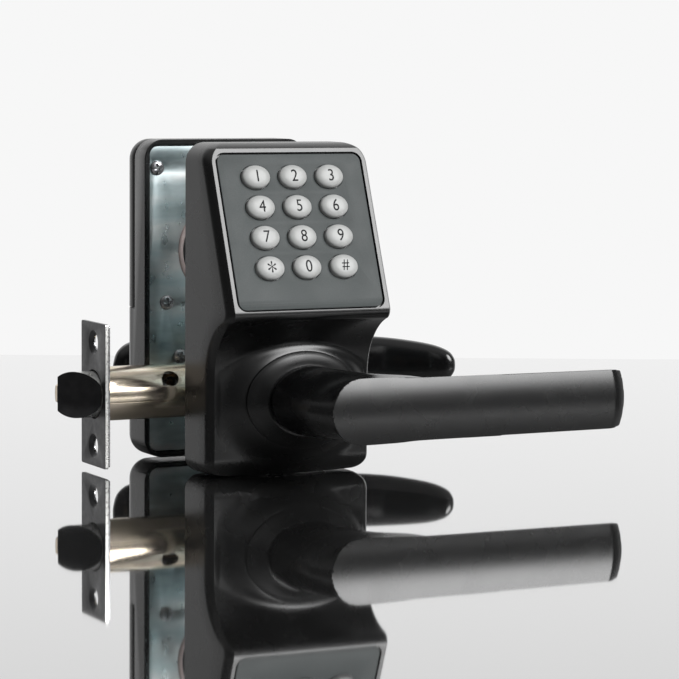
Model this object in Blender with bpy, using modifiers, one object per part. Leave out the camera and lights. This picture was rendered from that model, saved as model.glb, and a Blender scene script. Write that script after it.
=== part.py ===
"""A keypad lever lock: outside keypad unit, spring latch and inside battery unit, as on a door.

The origin is on the spindle's line at the middle of the door's thickness. +X points along the
levers, so the latch is towards -X. The outside of the door is towards -Y. +Z is up.
Sizes are in millimetres, and the helpers turn them into metres.
"""

import math

import bmesh
import bpy
from mathutils import Matrix, Vector

MM = 0.001
GAP = 0.3

# The door and the latch
DOOR = 38.0
LATCH_FACE_X = -66.0
FACEPLATE_HEIGHT = 57.2
FACEPLATE_WIDTH = 25.4
FACEPLATE_THICK = 1.4
BACK_PLATE_THICK = 0.6
FACEPLATE_SCREW_Z = 20.65
BOLT_RADIUS = 9.2
BOLT_THROW = 12.7
TUBE_RADIUS = 10.8
TUBE_WALL = 1.1

# The outside unit
UNIT_HALF_WIDTH = 35.2
UNIT_BOTTOM = -30.0
UNIT_TOP = 100.0
UNIT_CORNER = 8.0
UNIT_LOW_CORNER = 6.0
FOOT_FILLET = 7.0
WALL = 2.6
LOWER_FRONT = -44.0
CHIN_Z = 33.2
CHIN_ARC_RADIUS = 24.7
CHIN_ARC_Z = 8.5
KEYPAD_LOW = Vector((0.0, -63.0, 36.3))
KEYPAD_HIGH = Vector((0.0, -39.5, 96.43))
KEYPAD_WALL = 3.4
PLATE_HALF_WIDTH = 31.4
PLATE_CORNER = 4.0
PLATE_UNDERSIDE = -1.6
POCKET_FLOOR = -1.9

# The keys, on the slope of the keypad
KEY_HALF_WIDTH = 5.9
KEY_HALF_HEIGHT = 4.7
KEY_COLUMN = 15.84
KEY_ROW = 12.34
KEY_FIRST_ROW = 10.4
KEY_NAMES = ("1", "2", "3", "4", "5", "6", "7", "8", "9", "star", "0", "hash")

# The boss, the collar and the levers
BOSS_TOP = -49.5
BOSS_RINGS = (
    (1.0, -38.0, 33.0, 26.0),
    (1.0, -44.0, 33.0, 26.0),
    (1.8, -45.8, 29.2, 23.0),
    (2.6, BOSS_TOP, 25.9, 20.4),
)
COLLAR_HEIGHT = 4.2
COLLAR_EDGE = 0.8
COLLAR_BASE_OVAL = (2.6, 24.7, 19.2)
COLLAR_TOP_OVAL = (2.8, 18.0, 14.2)
COLLAR_BEARING_RADIUS = 13.9
COLLAR_BEARING_END = -42.8
INSIDE_COLLAR_RADIUS = 19.6
INSIDE_NECK_RADIUS = 12.6
NECK_BASE = (-14.1, 20.5, 13.7)
NECK_ROWS = (
    (-64.0, -13.7, 23.5, 13.6),
    (-73.0, -13.2, 28.0, 13.3),
    (-80.0, -12.9, 34.5, 13.0),
    (-85.6, -12.5, 50.0, 12.7),
    (-97.4, -8.8, 46.0, 12.6),
)
SHANK_RADIUS = 10.2
SPINDLE_HOLE_RADIUS = 14.3
LEVER_FRONT = -98.0
LEVER_THICK = 13.0
LEVER_END = 120.3
LEVER_HALF_HEIGHT = 12.1
SPINDLE_HALF = 3.5
SQUARE_HOLE_HALF = 3.8
CLUTCH_RADIUS = 16.0
PIN_RADIUS = 1.8
PIN_Z = 12.5

# The inside unit
INSIDE_HALF_WIDTH = 36.0
INSIDE_BOTTOM = -29.7
INSIDE_TOP = 100.0
INSIDE_BACK = 44.0
INSIDE_BACK_ROUND = 11.0
INSIDE_WALL = 2.3
INSIDE_CORNER = 8.0
INSIDE_INNER_CORNER = 3.9
COVER_Y = 30.0
COVER_Z = 31.0
MOUNT_PLATE_FACE = 20.4
MOUNT_PLATE_THICK = 1.5
CABLE_HOLE_Z = 54.6
CABLE_HOLE_RADIUS = 20.5
PLATE_SCREWS = ((-30.1, 88.5), (30.1, 88.5), (-25.8, 33.7), (25.8, 33.7), (-19.8, 11.5), (19.8, 11.5))
THROUGH_BOLT_Z = (86.0, -19.5)
BATTERY_RADIUS = 7.1
BATTERY_LENGTH = 50.5
BATTERY_PITCH = 15.2
BATTERY_LOW_Z = 37.8
TRAY_FLOOR = 24.6
SCREW_RADIUS = 1.4
SCREW_HEAD_RADIUS = 3.0
SCREW_HOLE_RADIUS = 1.8

FINISHES = {
    "black_paint": ((0.022, 0.023, 0.024), 0.42, 0.0),
    "keypad_grey": ((0.11, 0.115, 0.12), 0.45, 0.0),
    "key_white": ((0.78, 0.79, 0.79), 0.35, 0.0),
    "rubber": ((0.03, 0.03, 0.03), 0.8, 0.0),
    "circuit_board": ((0.02, 0.12, 0.05), 0.5, 0.0),
    "zinc": ((0.62, 0.66, 0.70), 0.3, 1.0),
    "nickel": ((0.72, 0.66, 0.58), 0.18, 1.0),
    "dark_nickel": ((0.20, 0.20, 0.20), 0.25, 1.0),
    "steel": ((0.55, 0.55, 0.56), 0.3, 1.0),
    "black_plastic": ((0.03, 0.03, 0.03), 0.5, 0.0),
    "grommet": ((0.75, 0.62, 0.60), 0.6, 0.0),
    "battery": ((0.12, 0.12, 0.13), 0.35, 0.3),
}


# ---------------------------------------------------------------- scene and materials


def clear_scene():
    for obj in list(bpy.data.objects):
        bpy.data.objects.remove(obj, do_unlink=True)


def new_collection(name):
    collection = bpy.data.collections.new(name)
    bpy.context.scene.collection.children.link(collection)
    return collection


def new_material(name, color, roughness, metallic):
    material = bpy.data.materials.new(name)
    material.use_nodes = True
    shader = material.node_tree.nodes["Principled BSDF"]
    shader.inputs["Base Color"].default_value = (*color, 1.0)
    shader.inputs["Roughness"].default_value = roughness
    shader.inputs["Metallic"].default_value = metallic
    return material


clear_scene()
LOCK = new_collection("keypad_lever_lock")
CUTTERS = new_collection("cutters")


# ---------------------------------------------------------------- shape helpers


def to_object(name, shape, smooth_angle=35.0):
    """The bmesh as an object of the lock, closed and facing out."""
    bmesh.ops.remove_doubles(shape, verts=shape.verts, dist=1e-6)
    bmesh.ops.recalc_face_normals(shape, faces=shape.faces)
    mesh = bpy.data.meshes.new(name)
    shape.to_mesh(mesh)
    shape.free()
    mesh.shade_smooth()
    mesh.set_sharp_from_angle(angle=math.radians(smooth_angle))
    obj = bpy.data.objects.new(name, mesh)
    LOCK.objects.link(obj)
    return obj


def block(name, low, high):
    low, high = Vector(low), Vector(high)
    shape = bmesh.new()
    bmesh.ops.create_cube(shape, size=1.0)
    size = Matrix.Diagonal((*((high - low) * MM), 1.0))
    bmesh.ops.transform(shape, matrix=Matrix.Translation((low + high) / 2 * MM) @ size, verts=shape.verts)
    return to_object(name, shape)


def rod(name, start, end, radius, end_radius=None, segments=24):
    """A cylinder or cone between two points."""
    start, end = Vector(start) * MM, Vector(end) * MM
    shape = bmesh.new()
    bmesh.ops.create_cone(
        shape,
        cap_ends=True,
        segments=segments,
        radius1=radius * MM,
        radius2=(radius if end_radius is None else end_radius) * MM,
        depth=(end - start).length,
    )
    turn = (end - start).to_track_quat("Z", "Y").to_matrix().to_4x4()
    bmesh.ops.transform(shape, matrix=Matrix.Translation((start + end) / 2) @ turn, verts=shape.verts)
    return to_object(name, shape)


def mesh_of(curve_object):
    """The curve object as a mesh object, its caps welded."""
    evaluated = curve_object.evaluated_get(bpy.context.evaluated_depsgraph_get())
    mesh = bpy.data.meshes.new_from_object(evaluated)
    shape = bmesh.new()
    shape.from_mesh(mesh)
    bmesh.ops.remove_doubles(shape, verts=shape.verts, dist=1e-6)
    bmesh.ops.recalc_face_normals(shape, faces=shape.faces)
    shape.to_mesh(mesh)
    shape.free()
    name = curve_object.name
    bpy.data.objects.remove(curve_object, do_unlink=True)
    mesh.name = name
    mesh.shade_smooth()
    mesh.set_sharp_from_angle(angle=math.radians(35.0))
    obj = bpy.data.objects.new(name, mesh)
    LOCK.objects.link(obj)
    return obj


def prism(name, outline, axis, start, end):
    """A flat outline drawn out along an axis. Its points give the other two axes in order."""
    curve = bpy.data.curves.new(name, "CURVE")
    curve.dimensions = "2D"
    curve.fill_mode = "BOTH"
    curve.extrude = abs(end - start) / 2 * MM
    spline = curve.splines.new("POLY")
    spline.points.add(len(outline) - 1)
    spline.use_cyclic_u = True
    for point, (a, b) in zip(spline.points, outline):
        point.co = (a * MM, b * MM, 0.0, 1.0)
    obj = bpy.data.objects.new(name, curve)
    LOCK.objects.link(obj)
    obj = mesh_of(obj)
    obj.location["XYZ".index(axis)] = (start + end) / 2 * MM
    obj.rotation_euler = {
        "X": (math.pi / 2, 0.0, math.pi / 2),
        "Y": (math.pi / 2, 0.0, 0.0),
        "Z": (0.0, 0.0, 0.0),
    }[axis]
    return obj


def turned(name, profile, axis, center=(0.0, 0.0), steps=28, closed=False):
    """A profile of (radius, distance along the axis) turned about the axis through center."""
    points = list(profile)
    area = sum(a[0] * b[1] - b[0] * a[1] for a, b in zip(points, points[1:] + points[:1]))
    if area > 0:
        points.reverse()
    edges = [(i, i + 1) for i in range(len(points) - 1)]
    if closed:
        edges.append((len(points) - 1, 0))
    mesh = bpy.data.meshes.new(name)
    mesh.from_pydata([(r * MM, 0.0, d * MM) for r, d in points], edges, [])
    obj = bpy.data.objects.new(name, mesh)
    LOCK.objects.link(obj)
    screw = obj.modifiers.new("Turn", "SCREW")
    screw.steps = steps
    screw.render_steps = steps
    screw.use_merge_vertices = True
    screw.merge_threshold = 0.00001
    place = [center[0] * MM, center[1] * MM]
    place.insert("XYZ".index(axis), 0.0)
    obj.location = place
    obj.rotation_euler = {
        "X": (0.0, math.pi / 2, 0.0),
        "Y": (-math.pi / 2, 0.0, 0.0),
        "Z": (0.0, 0.0, 0.0),
    }[axis]
    return obj


def loft(name, rings):
    """A skin over rings of points, with a flat cap at each end."""
    shape = bmesh.new()
    rows = [[shape.verts.new(Vector(point) * MM) for point in ring] for ring in rings]
    for near, far in zip(rows, rows[1:]):
        for i in range(len(near)):
            j = (i + 1) % len(near)
            shape.faces.new((near[i], near[j], far[j], far[i]))
    shape.faces.new(rows[0])
    shape.faces.new(rows[-1])
    return to_object(name, shape)


def coil(name, axis, start, end, radius, wire, turns, points_per_turn=9):
    """A wire spring wound about a line along an axis through the origin."""
    index = "XYZ".index(axis)
    others = [i for i in range(3) if i != index]
    curve = bpy.data.curves.new(name, "CURVE")
    curve.dimensions = "3D"
    curve.bevel_depth = wire * MM
    curve.bevel_resolution = 1
    curve.use_fill_caps = True
    count = turns * points_per_turn + 1
    spline = curve.splines.new("POLY")
    spline.points.add(count - 1)
    for i in range(count):
        angle = 2 * math.pi * i / points_per_turn
        point = Vector((0.0, 0.0, 0.0))
        point[index] = start + (end - start) * i / (count - 1)
        point[others[0]] = radius * math.cos(angle)
        point[others[1]] = radius * math.sin(angle)
        spline.points[i].co = (*(point * MM), 1.0)
    obj = bpy.data.objects.new(name, curve)
    LOCK.objects.link(obj)
    return obj


def boolean(solid, operation, others):
    for other in others:
        step = solid.modifiers.new(other.name, "BOOLEAN")
        step.operation = operation
        step.solver = "EXACT"
        step.object = other
        LOCK.objects.unlink(other)
        CUTTERS.objects.link(other)
        other.hide_render = True
        other.display_type = "WIRE"
    return solid


def cut(solid, *others):
    return boolean(solid, "DIFFERENCE", others)


def join(solid, *others):
    return boolean(solid, "UNION", others)


def keep(solid, *others):
    return boolean(solid, "INTERSECT", others)


def paint(obj, finish):
    obj.data.materials.clear()
    color, roughness, metallic = FINISHES[finish]
    obj.data.materials.append(new_material(f"{obj.name}_{finish}", color, roughness, metallic))
    return obj


def arc(center, radius, start, end, steps):
    """Points of an arc in a plane, its angles in degrees."""
    points = []
    for i in range(steps + 1):
        angle = math.radians(start + (end - start) * i / steps)
        points.append((center[0] + radius * math.cos(angle), center[1] + radius * math.sin(angle)))
    return points


def rounded(half_width, low, high, low_radius, high_radius, steps=4):
    """A rectangle with round corners, anticlockwise from the low right corner."""
    points = []
    corners = (
        (half_width - low_radius, low + low_radius, low_radius, -90),
        (half_width - high_radius, high - high_radius, high_radius, 0),
        (high_radius - half_width, high - high_radius, high_radius, 90),
        (low_radius - half_width, low + low_radius, low_radius, 180),
    )
    for a, b, radius, angle in corners:
        points += arc((a, b), radius, angle, angle + 90, steps)
    return points


def ellipse(half_width, half_height, steps=16, center=(0.0, 0.0)):
    points = []
    for i in range(steps):
        angle = 2 * math.pi * i / steps
        points.append((center[0] + half_width * math.cos(angle), center[1] + half_height * math.sin(angle)))
    return points


# ---------------------------------------------------------------- outside unit

BACK = -DOOR / 2
RIM_BACK = BACK - 1.2
SLOPE = (KEYPAD_HIGH.y - KEYPAD_LOW.y) / (KEYPAD_HIGH.z - KEYPAD_LOW.z)
SLOPE_ANGLE = math.atan(SLOPE)
SLOPE_LENGTH = (KEYPAD_HIGH - KEYPAD_LOW).length


def slope_y(z, depth=0.0):
    """The keypad's slope at a height, moved into the housing by a depth."""
    return KEYPAD_LOW.y + (z - KEYPAD_LOW.z) * SLOPE + depth / math.cos(SLOPE_ANGLE)


def outside_profile():
    """The side view of the outside unit as (y, z), drawn past its back, from the bottom."""
    past_back = -12.0
    top_edge = 1.4
    points = [(past_back, UNIT_BOTTOM)]
    points += arc((LOWER_FRONT + FOOT_FILLET, UNIT_BOTTOM + FOOT_FILLET), FOOT_FILLET, 270, 180, 4)
    points += arc((LOWER_FRONT - CHIN_ARC_RADIUS, CHIN_ARC_Z), CHIN_ARC_RADIUS, 0, 72, 8)
    points += [(slope_y(CHIN_Z), CHIN_Z), (slope_y(UNIT_TOP - 0.8), UNIT_TOP - 0.8)]
    points += [(slope_y(UNIT_TOP) + top_edge, UNIT_TOP), (past_back, UNIT_TOP)]
    return points


def outside_cavity_profile():
    past_back = -8.0
    fillet = FOOT_FILLET - WALL
    front = LOWER_FRONT + WALL
    bottom = UNIT_BOTTOM + WALL
    top = UNIT_TOP - WALL
    points = [(past_back, bottom)]
    points += arc((front + fillet, bottom + fillet), fillet, 270, 180, 3)
    points += arc((LOWER_FRONT - CHIN_ARC_RADIUS, CHIN_ARC_Z), CHIN_ARC_RADIUS + WALL, 0, 60, 6)
    points += [(slope_y(z, KEYPAD_WALL), z) for z in (CHIN_Z + WALL, top)]
    points += [(past_back, top)]
    return points


def unit_outline(inset):
    return rounded(
        UNIT_HALF_WIDTH - inset,
        UNIT_BOTTOM + inset,
        UNIT_TOP - inset,
        UNIT_LOW_CORNER - inset * 0.6,
        UNIT_CORNER - inset * 0.6,
    )


def oval(center_x, y, half_width, half_height, steps=40):
    """An upright ellipse at a depth, as a ring for a loft."""
    return [(x, y, z) for x, z in ellipse(half_width, half_height, steps, (center_x, 0.0))]


def make_outside_housing():
    side = prism("outside_housing", outside_profile(), "X", -UNIT_HALF_WIDTH - 1, UNIT_HALF_WIDTH + 1)
    outline = prism("outside_outline", unit_outline(0.0), "Y", -80.0, RIM_BACK)
    boss = loft("outside_boss", [oval(*ring) for ring in BOSS_RINGS])
    cavity = prism("outside_cavity", outside_cavity_profile(), "X", -UNIT_HALF_WIDTH, UNIT_HALF_WIDTH)
    keep(cavity, prism("outside_cavity_outline", unit_outline(WALL), "Y", -80.0, -5.0))
    hole = rod("outside_spindle_hole", (0, -30, 0), (0, -60, 0), SPINDLE_HOLE_RADIUS, segments=28)
    return cut(keep(join(side, boss), outline), cavity, hole, *keypad_cutters())


def keypad_frame():
    """An empty in the middle of the keypad, its z out of the slope and its y up the slope."""
    empty = bpy.data.objects.new("keypad_frame", None)
    LOCK.objects.link(empty)
    empty.location = (KEYPAD_LOW + KEYPAD_HIGH) / 2 * MM
    empty.rotation_euler = (math.pi / 2 - SLOPE_ANGLE, 0.0, 0.0)
    return empty


def on_keypad(obj, x=0.0, y=0.0):
    obj.parent = FRAME
    obj.location = (x * MM, y * MM, obj.location.z)
    return obj


def key_places():
    """Each key's name and its place on the slope, from the top left."""
    top = SLOPE_LENGTH / 2 - KEY_FIRST_ROW
    for i, name in enumerate(KEY_NAMES):
        row, column = divmod(i, 3)
        yield name, (column - 1) * KEY_COLUMN, top - row * KEY_ROW


def slope_outline(inset, radius):
    half = SLOPE_LENGTH / 2 - inset
    return rounded(PLATE_HALF_WIDTH + GAP - inset, -half, half, radius, radius)


def keypad_cutters():
    pocket = on_keypad(prism("keypad_pocket", slope_outline(0.0, PLATE_CORNER), "Z", POCKET_FLOOR, 4.0))
    window = on_keypad(prism("keypad_window", slope_outline(3.0, 2.0), "Z", -6.0, 0.0))
    return pocket, window


def make_keypad_plate():
    outline = slope_outline(GAP, PLATE_CORNER - GAP)
    plate = on_keypad(prism("keypad_plate", outline, "Z", PLATE_UNDERSIDE, -0.1))
    for name, x, y in key_places():
        hole = ellipse(KEY_HALF_WIDTH + GAP, KEY_HALF_HEIGHT + GAP)
        cut(plate, on_keypad(prism(f"key_hole_{name}", hole, "Z", -3.0, 2.0), x, y))
    return paint(plate, "keypad_grey")


def key_ring(scale, height, extra=0.0):
    outline = ellipse(KEY_HALF_WIDTH * scale + extra, KEY_HALF_HEIGHT * scale + extra)
    return [(a, b, height) for a, b in outline]


def make_key(name, x, y):
    """A domed key, with the flange that holds it behind the plate and the stem that presses."""
    rings = [
        key_ring(0.3, -4.8),
        key_ring(0.3, -2.9),
        key_ring(1.0, -2.9, 0.9),
        key_ring(1.0, -1.95, 0.9),
        key_ring(1.0, -1.95),
        key_ring(1.0, 0.9),
        key_ring(0.62, 2.2),
        key_ring(0.25, 2.5),
    ]
    return paint(on_keypad(loft(f"key_{name}", rings), x, y), "key_white")


def make_keypad_mat():
    mat = on_keypad(prism("keypad_mat", slope_outline(4.4, 1.5), "Z", -5.0, -4.2))
    for name, x, y in key_places():
        cut(mat, on_keypad(prism(f"mat_hole_{name}", ellipse(2.4, 2.1, 8), "Z", -6.0, -3.0), x, y))
    return paint(mat, "rubber")


def make_keypad_board():
    board = prism("keypad_circuit_board", slope_outline(4.6, 1.5), "Z", -7.7, -6.1)
    return paint(on_keypad(board), "circuit_board")


def make_outside_gasket():
    ring = prism("outside_gasket", unit_outline(0.8), "Y", BACK - 0.9, BACK)
    return paint(cut(ring, prism("gasket_inside", unit_outline(3.6), "Y", BACK - 2, BACK + 1)), "rubber")


def make_outside_base_plate():
    plate = prism("outside_base_plate", unit_outline(4.2), "Y", BACK - 2.0, BACK - 0.4)
    hole = rod("base_spindle_hole", (0, -10, 0), (0, -30, 0), 9.5)
    cable = rod("base_cable_hole", (0, -10, CABLE_HOLE_Z), (0, -30, CABLE_HOLE_Z), 6.0, segments=16)
    posts = [
        rod(f"post_{i}", (0, BACK - 1.0, z), (0, BACK - 10.0, z), 4.2, segments=16)
        for i, z in enumerate(THROUGH_BOLT_Z)
    ]
    holes = [
        rod(f"post_hole_{i}", (0, BACK + 2, z), (0, BACK - 9.0, z), 2.3, segments=12)
        for i, z in enumerate(THROUGH_BOLT_Z)
    ]
    return paint(cut(join(plate, *posts), hole, cable, *holes), "zinc")


def make_outside_collar():
    """An oval cone on the boss, with the round bearing that goes through the boss."""
    base = BOSS_TOP - GAP
    base_x, *base_size = COLLAR_BASE_OVAL
    top_x, *top_size = COLLAR_TOP_OVAL
    rings = [
        oval(base_x, base, *base_size),
        oval(base_x, base - COLLAR_EDGE, *base_size),
        oval(top_x, base - COLLAR_HEIGHT, *top_size),
    ]
    cone = loft("outside_collar", rings)
    bearing_end = (0, COLLAR_BEARING_END, 0)
    bearing = rod("collar_bearing", (0, base - 1.0, 0), bearing_end, COLLAR_BEARING_RADIUS, segments=32)
    bore = rod("collar_bore", (0, -30, 0), (0, -70, 0), SHANK_RADIUS + GAP, segments=28)
    return paint(cut(join(cone, bearing), bore), "black_paint")


def make_inside_collar():
    """A round cone on the inside case, with the bearing that goes into the case."""
    base = INSIDE_BACK + GAP
    hole = INSIDE_NECK_RADIUS + GAP
    profile = [
        (hole, 6.3),
        (hole + 0.6, 6.3),
        (INSIDE_COLLAR_RADIUS, COLLAR_EDGE),
        (INSIDE_COLLAR_RADIUS, 0.0),
        (COLLAR_BEARING_RADIUS, 0.0),
        (COLLAR_BEARING_RADIUS, -5.0),
        (SHANK_RADIUS + GAP, -5.0),
        (SHANK_RADIUS + GAP, -1.5),
        (hole, -1.5),
    ]
    ring = turned("inside_collar", [(r, base + d) for r, d in profile], "Y", closed=True)
    return paint(ring, "black_paint")


def lever_outline():
    """The outside lever's face, from its blunt end to its round end at the spindle, as (x, z)."""
    upper = [
        (LEVER_END + 0.6, 0.0),
        (LEVER_END, 7.0),
        (LEVER_END - 1.2, 12.0),
        (60.0, LEVER_HALF_HEIGHT),
        (30.0, LEVER_HALF_HEIGHT + 0.2),
        (16.0, LEVER_HALF_HEIGHT + 0.8),
    ]
    round_end = arc((4.8, 0.0), LEVER_HALF_HEIGHT + 1.2, 90, 270, 10)
    lower = [(x, -z) for x, z in reversed(upper[1:])]
    return upper + round_end + lower


def neck_ring(y, left, right, half_height):
    return oval((left + right) / 2, y, (right - left) / 2, half_height, 32)


def make_outside_lever():
    """A flat-faced bar on an oval neck that widens towards the bar, with a round shank behind."""
    neck_base = BOSS_TOP - GAP - COLLAR_HEIGHT - GAP
    lever = prism("outside_lever", lever_outline(), "Y", LEVER_FRONT, LEVER_FRONT + LEVER_THICK)
    neck = loft("outside_neck", [neck_ring(neck_base, *NECK_BASE), *(neck_ring(*row) for row in NECK_ROWS)])
    shank = rod("outside_shank", (0, neck_base - 2.0, 0), (0, -36.0, 0), SHANK_RADIUS, segments=28)
    socket = rod("lever_socket", (0, -30, 0), (0, -42, 0), 6.5)
    return paint(cut(join(lever, neck, shank), socket), "black_paint")


def pin_hole(name):
    return rod(name, (0, -50, PIN_Z), (0, -20, PIN_Z), PIN_RADIUS + 0.4, segments=12)


def square_hole(name, start, end):
    """A cutter along Y that leaves room round the spindle."""
    return block(
        name, (-SQUARE_HOLE_HALF, start, -SQUARE_HOLE_HALF), (SQUARE_HOLE_HALF, end, SQUARE_HOLE_HALF)
    )


def make_clutch():
    """The disc on each half of the lock, and the motor whose pin joins the two."""
    drive = rod("outside_drive_disc", (0, -35.4, 0), (0, -33.0, 0), CLUTCH_RADIUS, segments=32)
    bore = rod("drive_bore", (0, -50, 0), (0, -20, 0), 5.6)
    paint(cut(drive, bore, pin_hole("drive_pin_hole")), "steel")
    disc = rod("clutch_disc", (0, -32.6, 0), (0, -30.2, 0), CLUTCH_RADIUS, segments=32)
    paint(cut(disc, square_hole("clutch_disc_hole", -40, -20), pin_hole("clutch_pin_hole")), "steel")
    paint(rod("clutch_motor", (-11.0, -30.0, 22.4), (11.0, -30.0, 22.4), 5.2, segments=20), "steel")
    paint(rod("clutch_pin", (0, -24.5, PIN_Z), (0, -31.5, PIN_Z), PIN_RADIUS, segments=16), "steel")


def retaining_ring(name, start, end):
    """The ring that holds a lever's shank in its collar."""
    profile = [
        (SHANK_RADIUS + GAP, start),
        (SHANK_RADIUS + 2.6, start),
        (SHANK_RADIUS + 2.6, end),
        (SHANK_RADIUS + GAP, end),
    ]
    return paint(turned(name, profile, "Y", closed=True, steps=24), "steel")


# ---------------------------------------------------------------- latch


def faceplate_outline(inset):
    half = FACEPLATE_HEIGHT / 2 - inset
    return rounded(FACEPLATE_WIDTH / 2 - inset, -half, half, 1.0, 1.0, 2)


def make_latch_plates():
    outer = LATCH_FACE_X
    inner = outer + FACEPLATE_THICK
    plate = prism("latch_faceplate", faceplate_outline(0.0), "X", outer, inner)
    holes = [rod("face_bolt_hole", (outer - 2, 0, 0), (inner + 2, 0, 0), BOLT_RADIUS + 0.6, segments=32)]
    for i, z in enumerate((FACEPLATE_SCREW_Z, -FACEPLATE_SCREW_Z)):
        holes.append(rod(f"face_sink_{i}", (outer - 0.4, 0, z), (inner + 0.4, 0, z), 5.4, 2.8, segments=24))
    paint(cut(plate, *holes), "zinc")
    back = inner + GAP
    plate = prism("latch_back_plate", faceplate_outline(0.6), "X", back, back + BACK_PLATE_THICK)
    holes = [rod("back_bolt_hole", (back - 2, 0, 0), (back + 3, 0, 0), BOLT_RADIUS + 0.6, segments=32)]
    for i, z in enumerate((FACEPLATE_SCREW_Z, -FACEPLATE_SCREW_Z)):
        holes.append(rod(f"back_hole_{i}", (back - 2, 0, z), (back + 3, 0, z), 3.2, segments=16))
    paint(cut(plate, *holes), "zinc")
    return back + BACK_PLATE_THICK + GAP


def make_latch_tube(start):
    end = -18.0
    tube = rod("latch_tube", (start, 0, 0), (end, 0, 0), TUBE_RADIUS, segments=36)
    inside = rod("tube_inside", (start - 5, 0, 0), (end + 5, 0, 0), TUBE_RADIUS - TUBE_WALL, segments=36)
    window = rod("tube_window", (-36.3, 0, 0), (-36.3, -16.0, 11.0), 3.6, segments=16)
    return paint(cut(tube, inside, window), "nickel")


def make_latch_case():
    """The box round the hub. The spring pushes on its front wall and the drawbar passes above."""
    case = block("latch_case", (-17.7, -7.2, -10.6), (19.4, 7.2, 10.6))
    inside = block("case_inside", (-16.2, -5.8, -9.4), (18.0, 5.8, 9.4))
    slot = block("case_slot", (-20, -4.4, 6.8), (-10, 4.4, 9.2))
    hub_hole = rod("case_hub_hole", (0, -20, 0), (0, 20, 0), 7.0, segments=28)
    return paint(cut(case, inside, slot, hub_hole), "nickel")


def make_latch_bolt():
    """The round bolt: its slope runs from the plate at the near side to the tip at the far side."""
    tip = LATCH_FACE_X - BOLT_THROW
    inner_end = LATCH_FACE_X + 14.0
    bolt = rod("latch_bolt", (tip, 0, 0), (inner_end, 0, 0), BOLT_RADIUS, segments=36)
    near = -8.3
    far = 6.2
    ahead = tip - 8.0
    beside = near - 10.0
    slope = [(LATCH_FACE_X, near), (tip, far), (ahead, far), (ahead, beside), (LATCH_FACE_X, beside)]
    cut(bolt, prism("bolt_slope", slope, "Z", -20, 20))
    flat = block("bolt_flat", (tip - 10, far + 0.1, -20), (inner_end + 10, 20, 20))
    paint(cut(bolt, flat), "dark_nickel")
    bar = block("latch_drawbar", (inner_end + GAP, -3.6, 7.2), (3.0, 3.6, 8.6))
    foot = rod("drawbar_foot", (inner_end + GAP, 0, 0), (inner_end + 2.0, 0, 0), 9.0)
    half = block("drawbar_foot_side", (inner_end - 1, 6.3, -20), (inner_end + 3, 20, 20))
    paint(cut(join(bar, foot), half), "steel")


def make_deadlatch():
    """The plunger beside the bolt's flat: a segment of the same round, narrow at its tip."""
    tip = LATCH_FACE_X - BOLT_THROW
    inner_end = LATCH_FACE_X + 12.0
    plunger = rod("deadlatch_plunger", (tip, 0, 0), (inner_end, 0, 0), BOLT_RADIUS, segments=36)
    wide = BOLT_RADIUS
    shoulder = LATCH_FACE_X - 6.0
    tip_half = 2.1
    outline = [(tip - 1.0, -tip_half), (shoulder, -wide), (inner_end + 1.0, -wide)]
    outline += [(x, -z) for x, z in reversed(outline)]
    return paint(keep(plunger, prism("plunger_outline", outline, "Y", 6.7, 12.0)), "nickel")


def make_latch_hub():
    hub = rod("latch_hub", (0, -6.8, 0), (0, 6.8, 0), 6.5, segments=24)
    return paint(cut(hub, square_hole("hub_square", -20, 20)), "steel")


# ---------------------------------------------------------------- inside unit

DOOR_FACE = DOOR / 2


def inside_ring(y, inset, radius):
    outline = rounded(INSIDE_HALF_WIDTH - inset, INSIDE_BOTTOM + inset, INSIDE_TOP - inset, radius, radius)
    return [(x, y, z) for x, z in outline]


def inside_shell(name):
    """The whole inside case as one shell, open at the door."""
    round_start = INSIDE_BACK - INSIDE_BACK_ROUND
    outer = [(DOOR_FACE, 0.0)]
    for inset, y in arc((INSIDE_BACK_ROUND, round_start), INSIDE_BACK_ROUND, 180, 90, 6):
        outer.append((y, inset))
    inner_round = INSIDE_BACK_ROUND - INSIDE_WALL
    inner = [(DOOR_FACE - 5.0, INSIDE_WALL)]
    for inset, y in arc((INSIDE_BACK_ROUND, round_start), inner_round, 180, 90, 5):
        inner.append((y, inset))
    shell = loft(name, [inside_ring(y, inset, INSIDE_CORNER - inset * 0.5) for y, inset in outer])
    cavity = loft(f"{name}_cavity", [inside_ring(y, inset, INSIDE_INNER_CORNER) for y, inset in inner])
    return cut(shell, cavity)


def screw_post(name, x, z, end, radius):
    """A post behind the mounting plate that takes one of its screws."""
    return rod(name, (x, MOUNT_PLATE_FACE + 2.2, z), (x, end, z), radius, segments=12)


def screw_bore(name, x, z):
    return rod(name, (x, 10, z), (x, 30, z), SCREW_HOLE_RADIUS, segments=12)


def make_inside_housing():
    housing = inside_shell("inside_housing")
    for i, (x, z) in enumerate(PLATE_SCREWS[-2:]):
        join(housing, screw_post(f"screw_post_{i}", x, z, INSIDE_BACK - 1.0, 3.4))
        cut(housing, screw_bore(f"screw_bore_{i}", x, z))
    cover_room = block("cover_room", (-60, COVER_Y - GAP / 2, COVER_Z - GAP / 2), (60, 80, 140))
    hole = rod("inside_spindle_hole", (0, 30, 0), (0, 60, 0), SPINDLE_HOLE_RADIUS, segments=28)
    return paint(cut(housing, cover_room, hole), "black_paint")


def make_battery_cover():
    cover = inside_shell("battery_cover")
    region = block("cover_region", (-60, COVER_Y + GAP / 2, COVER_Z + GAP / 2), (60, 80, 140))
    return paint(keep(cover, region), "black_paint")


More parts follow.
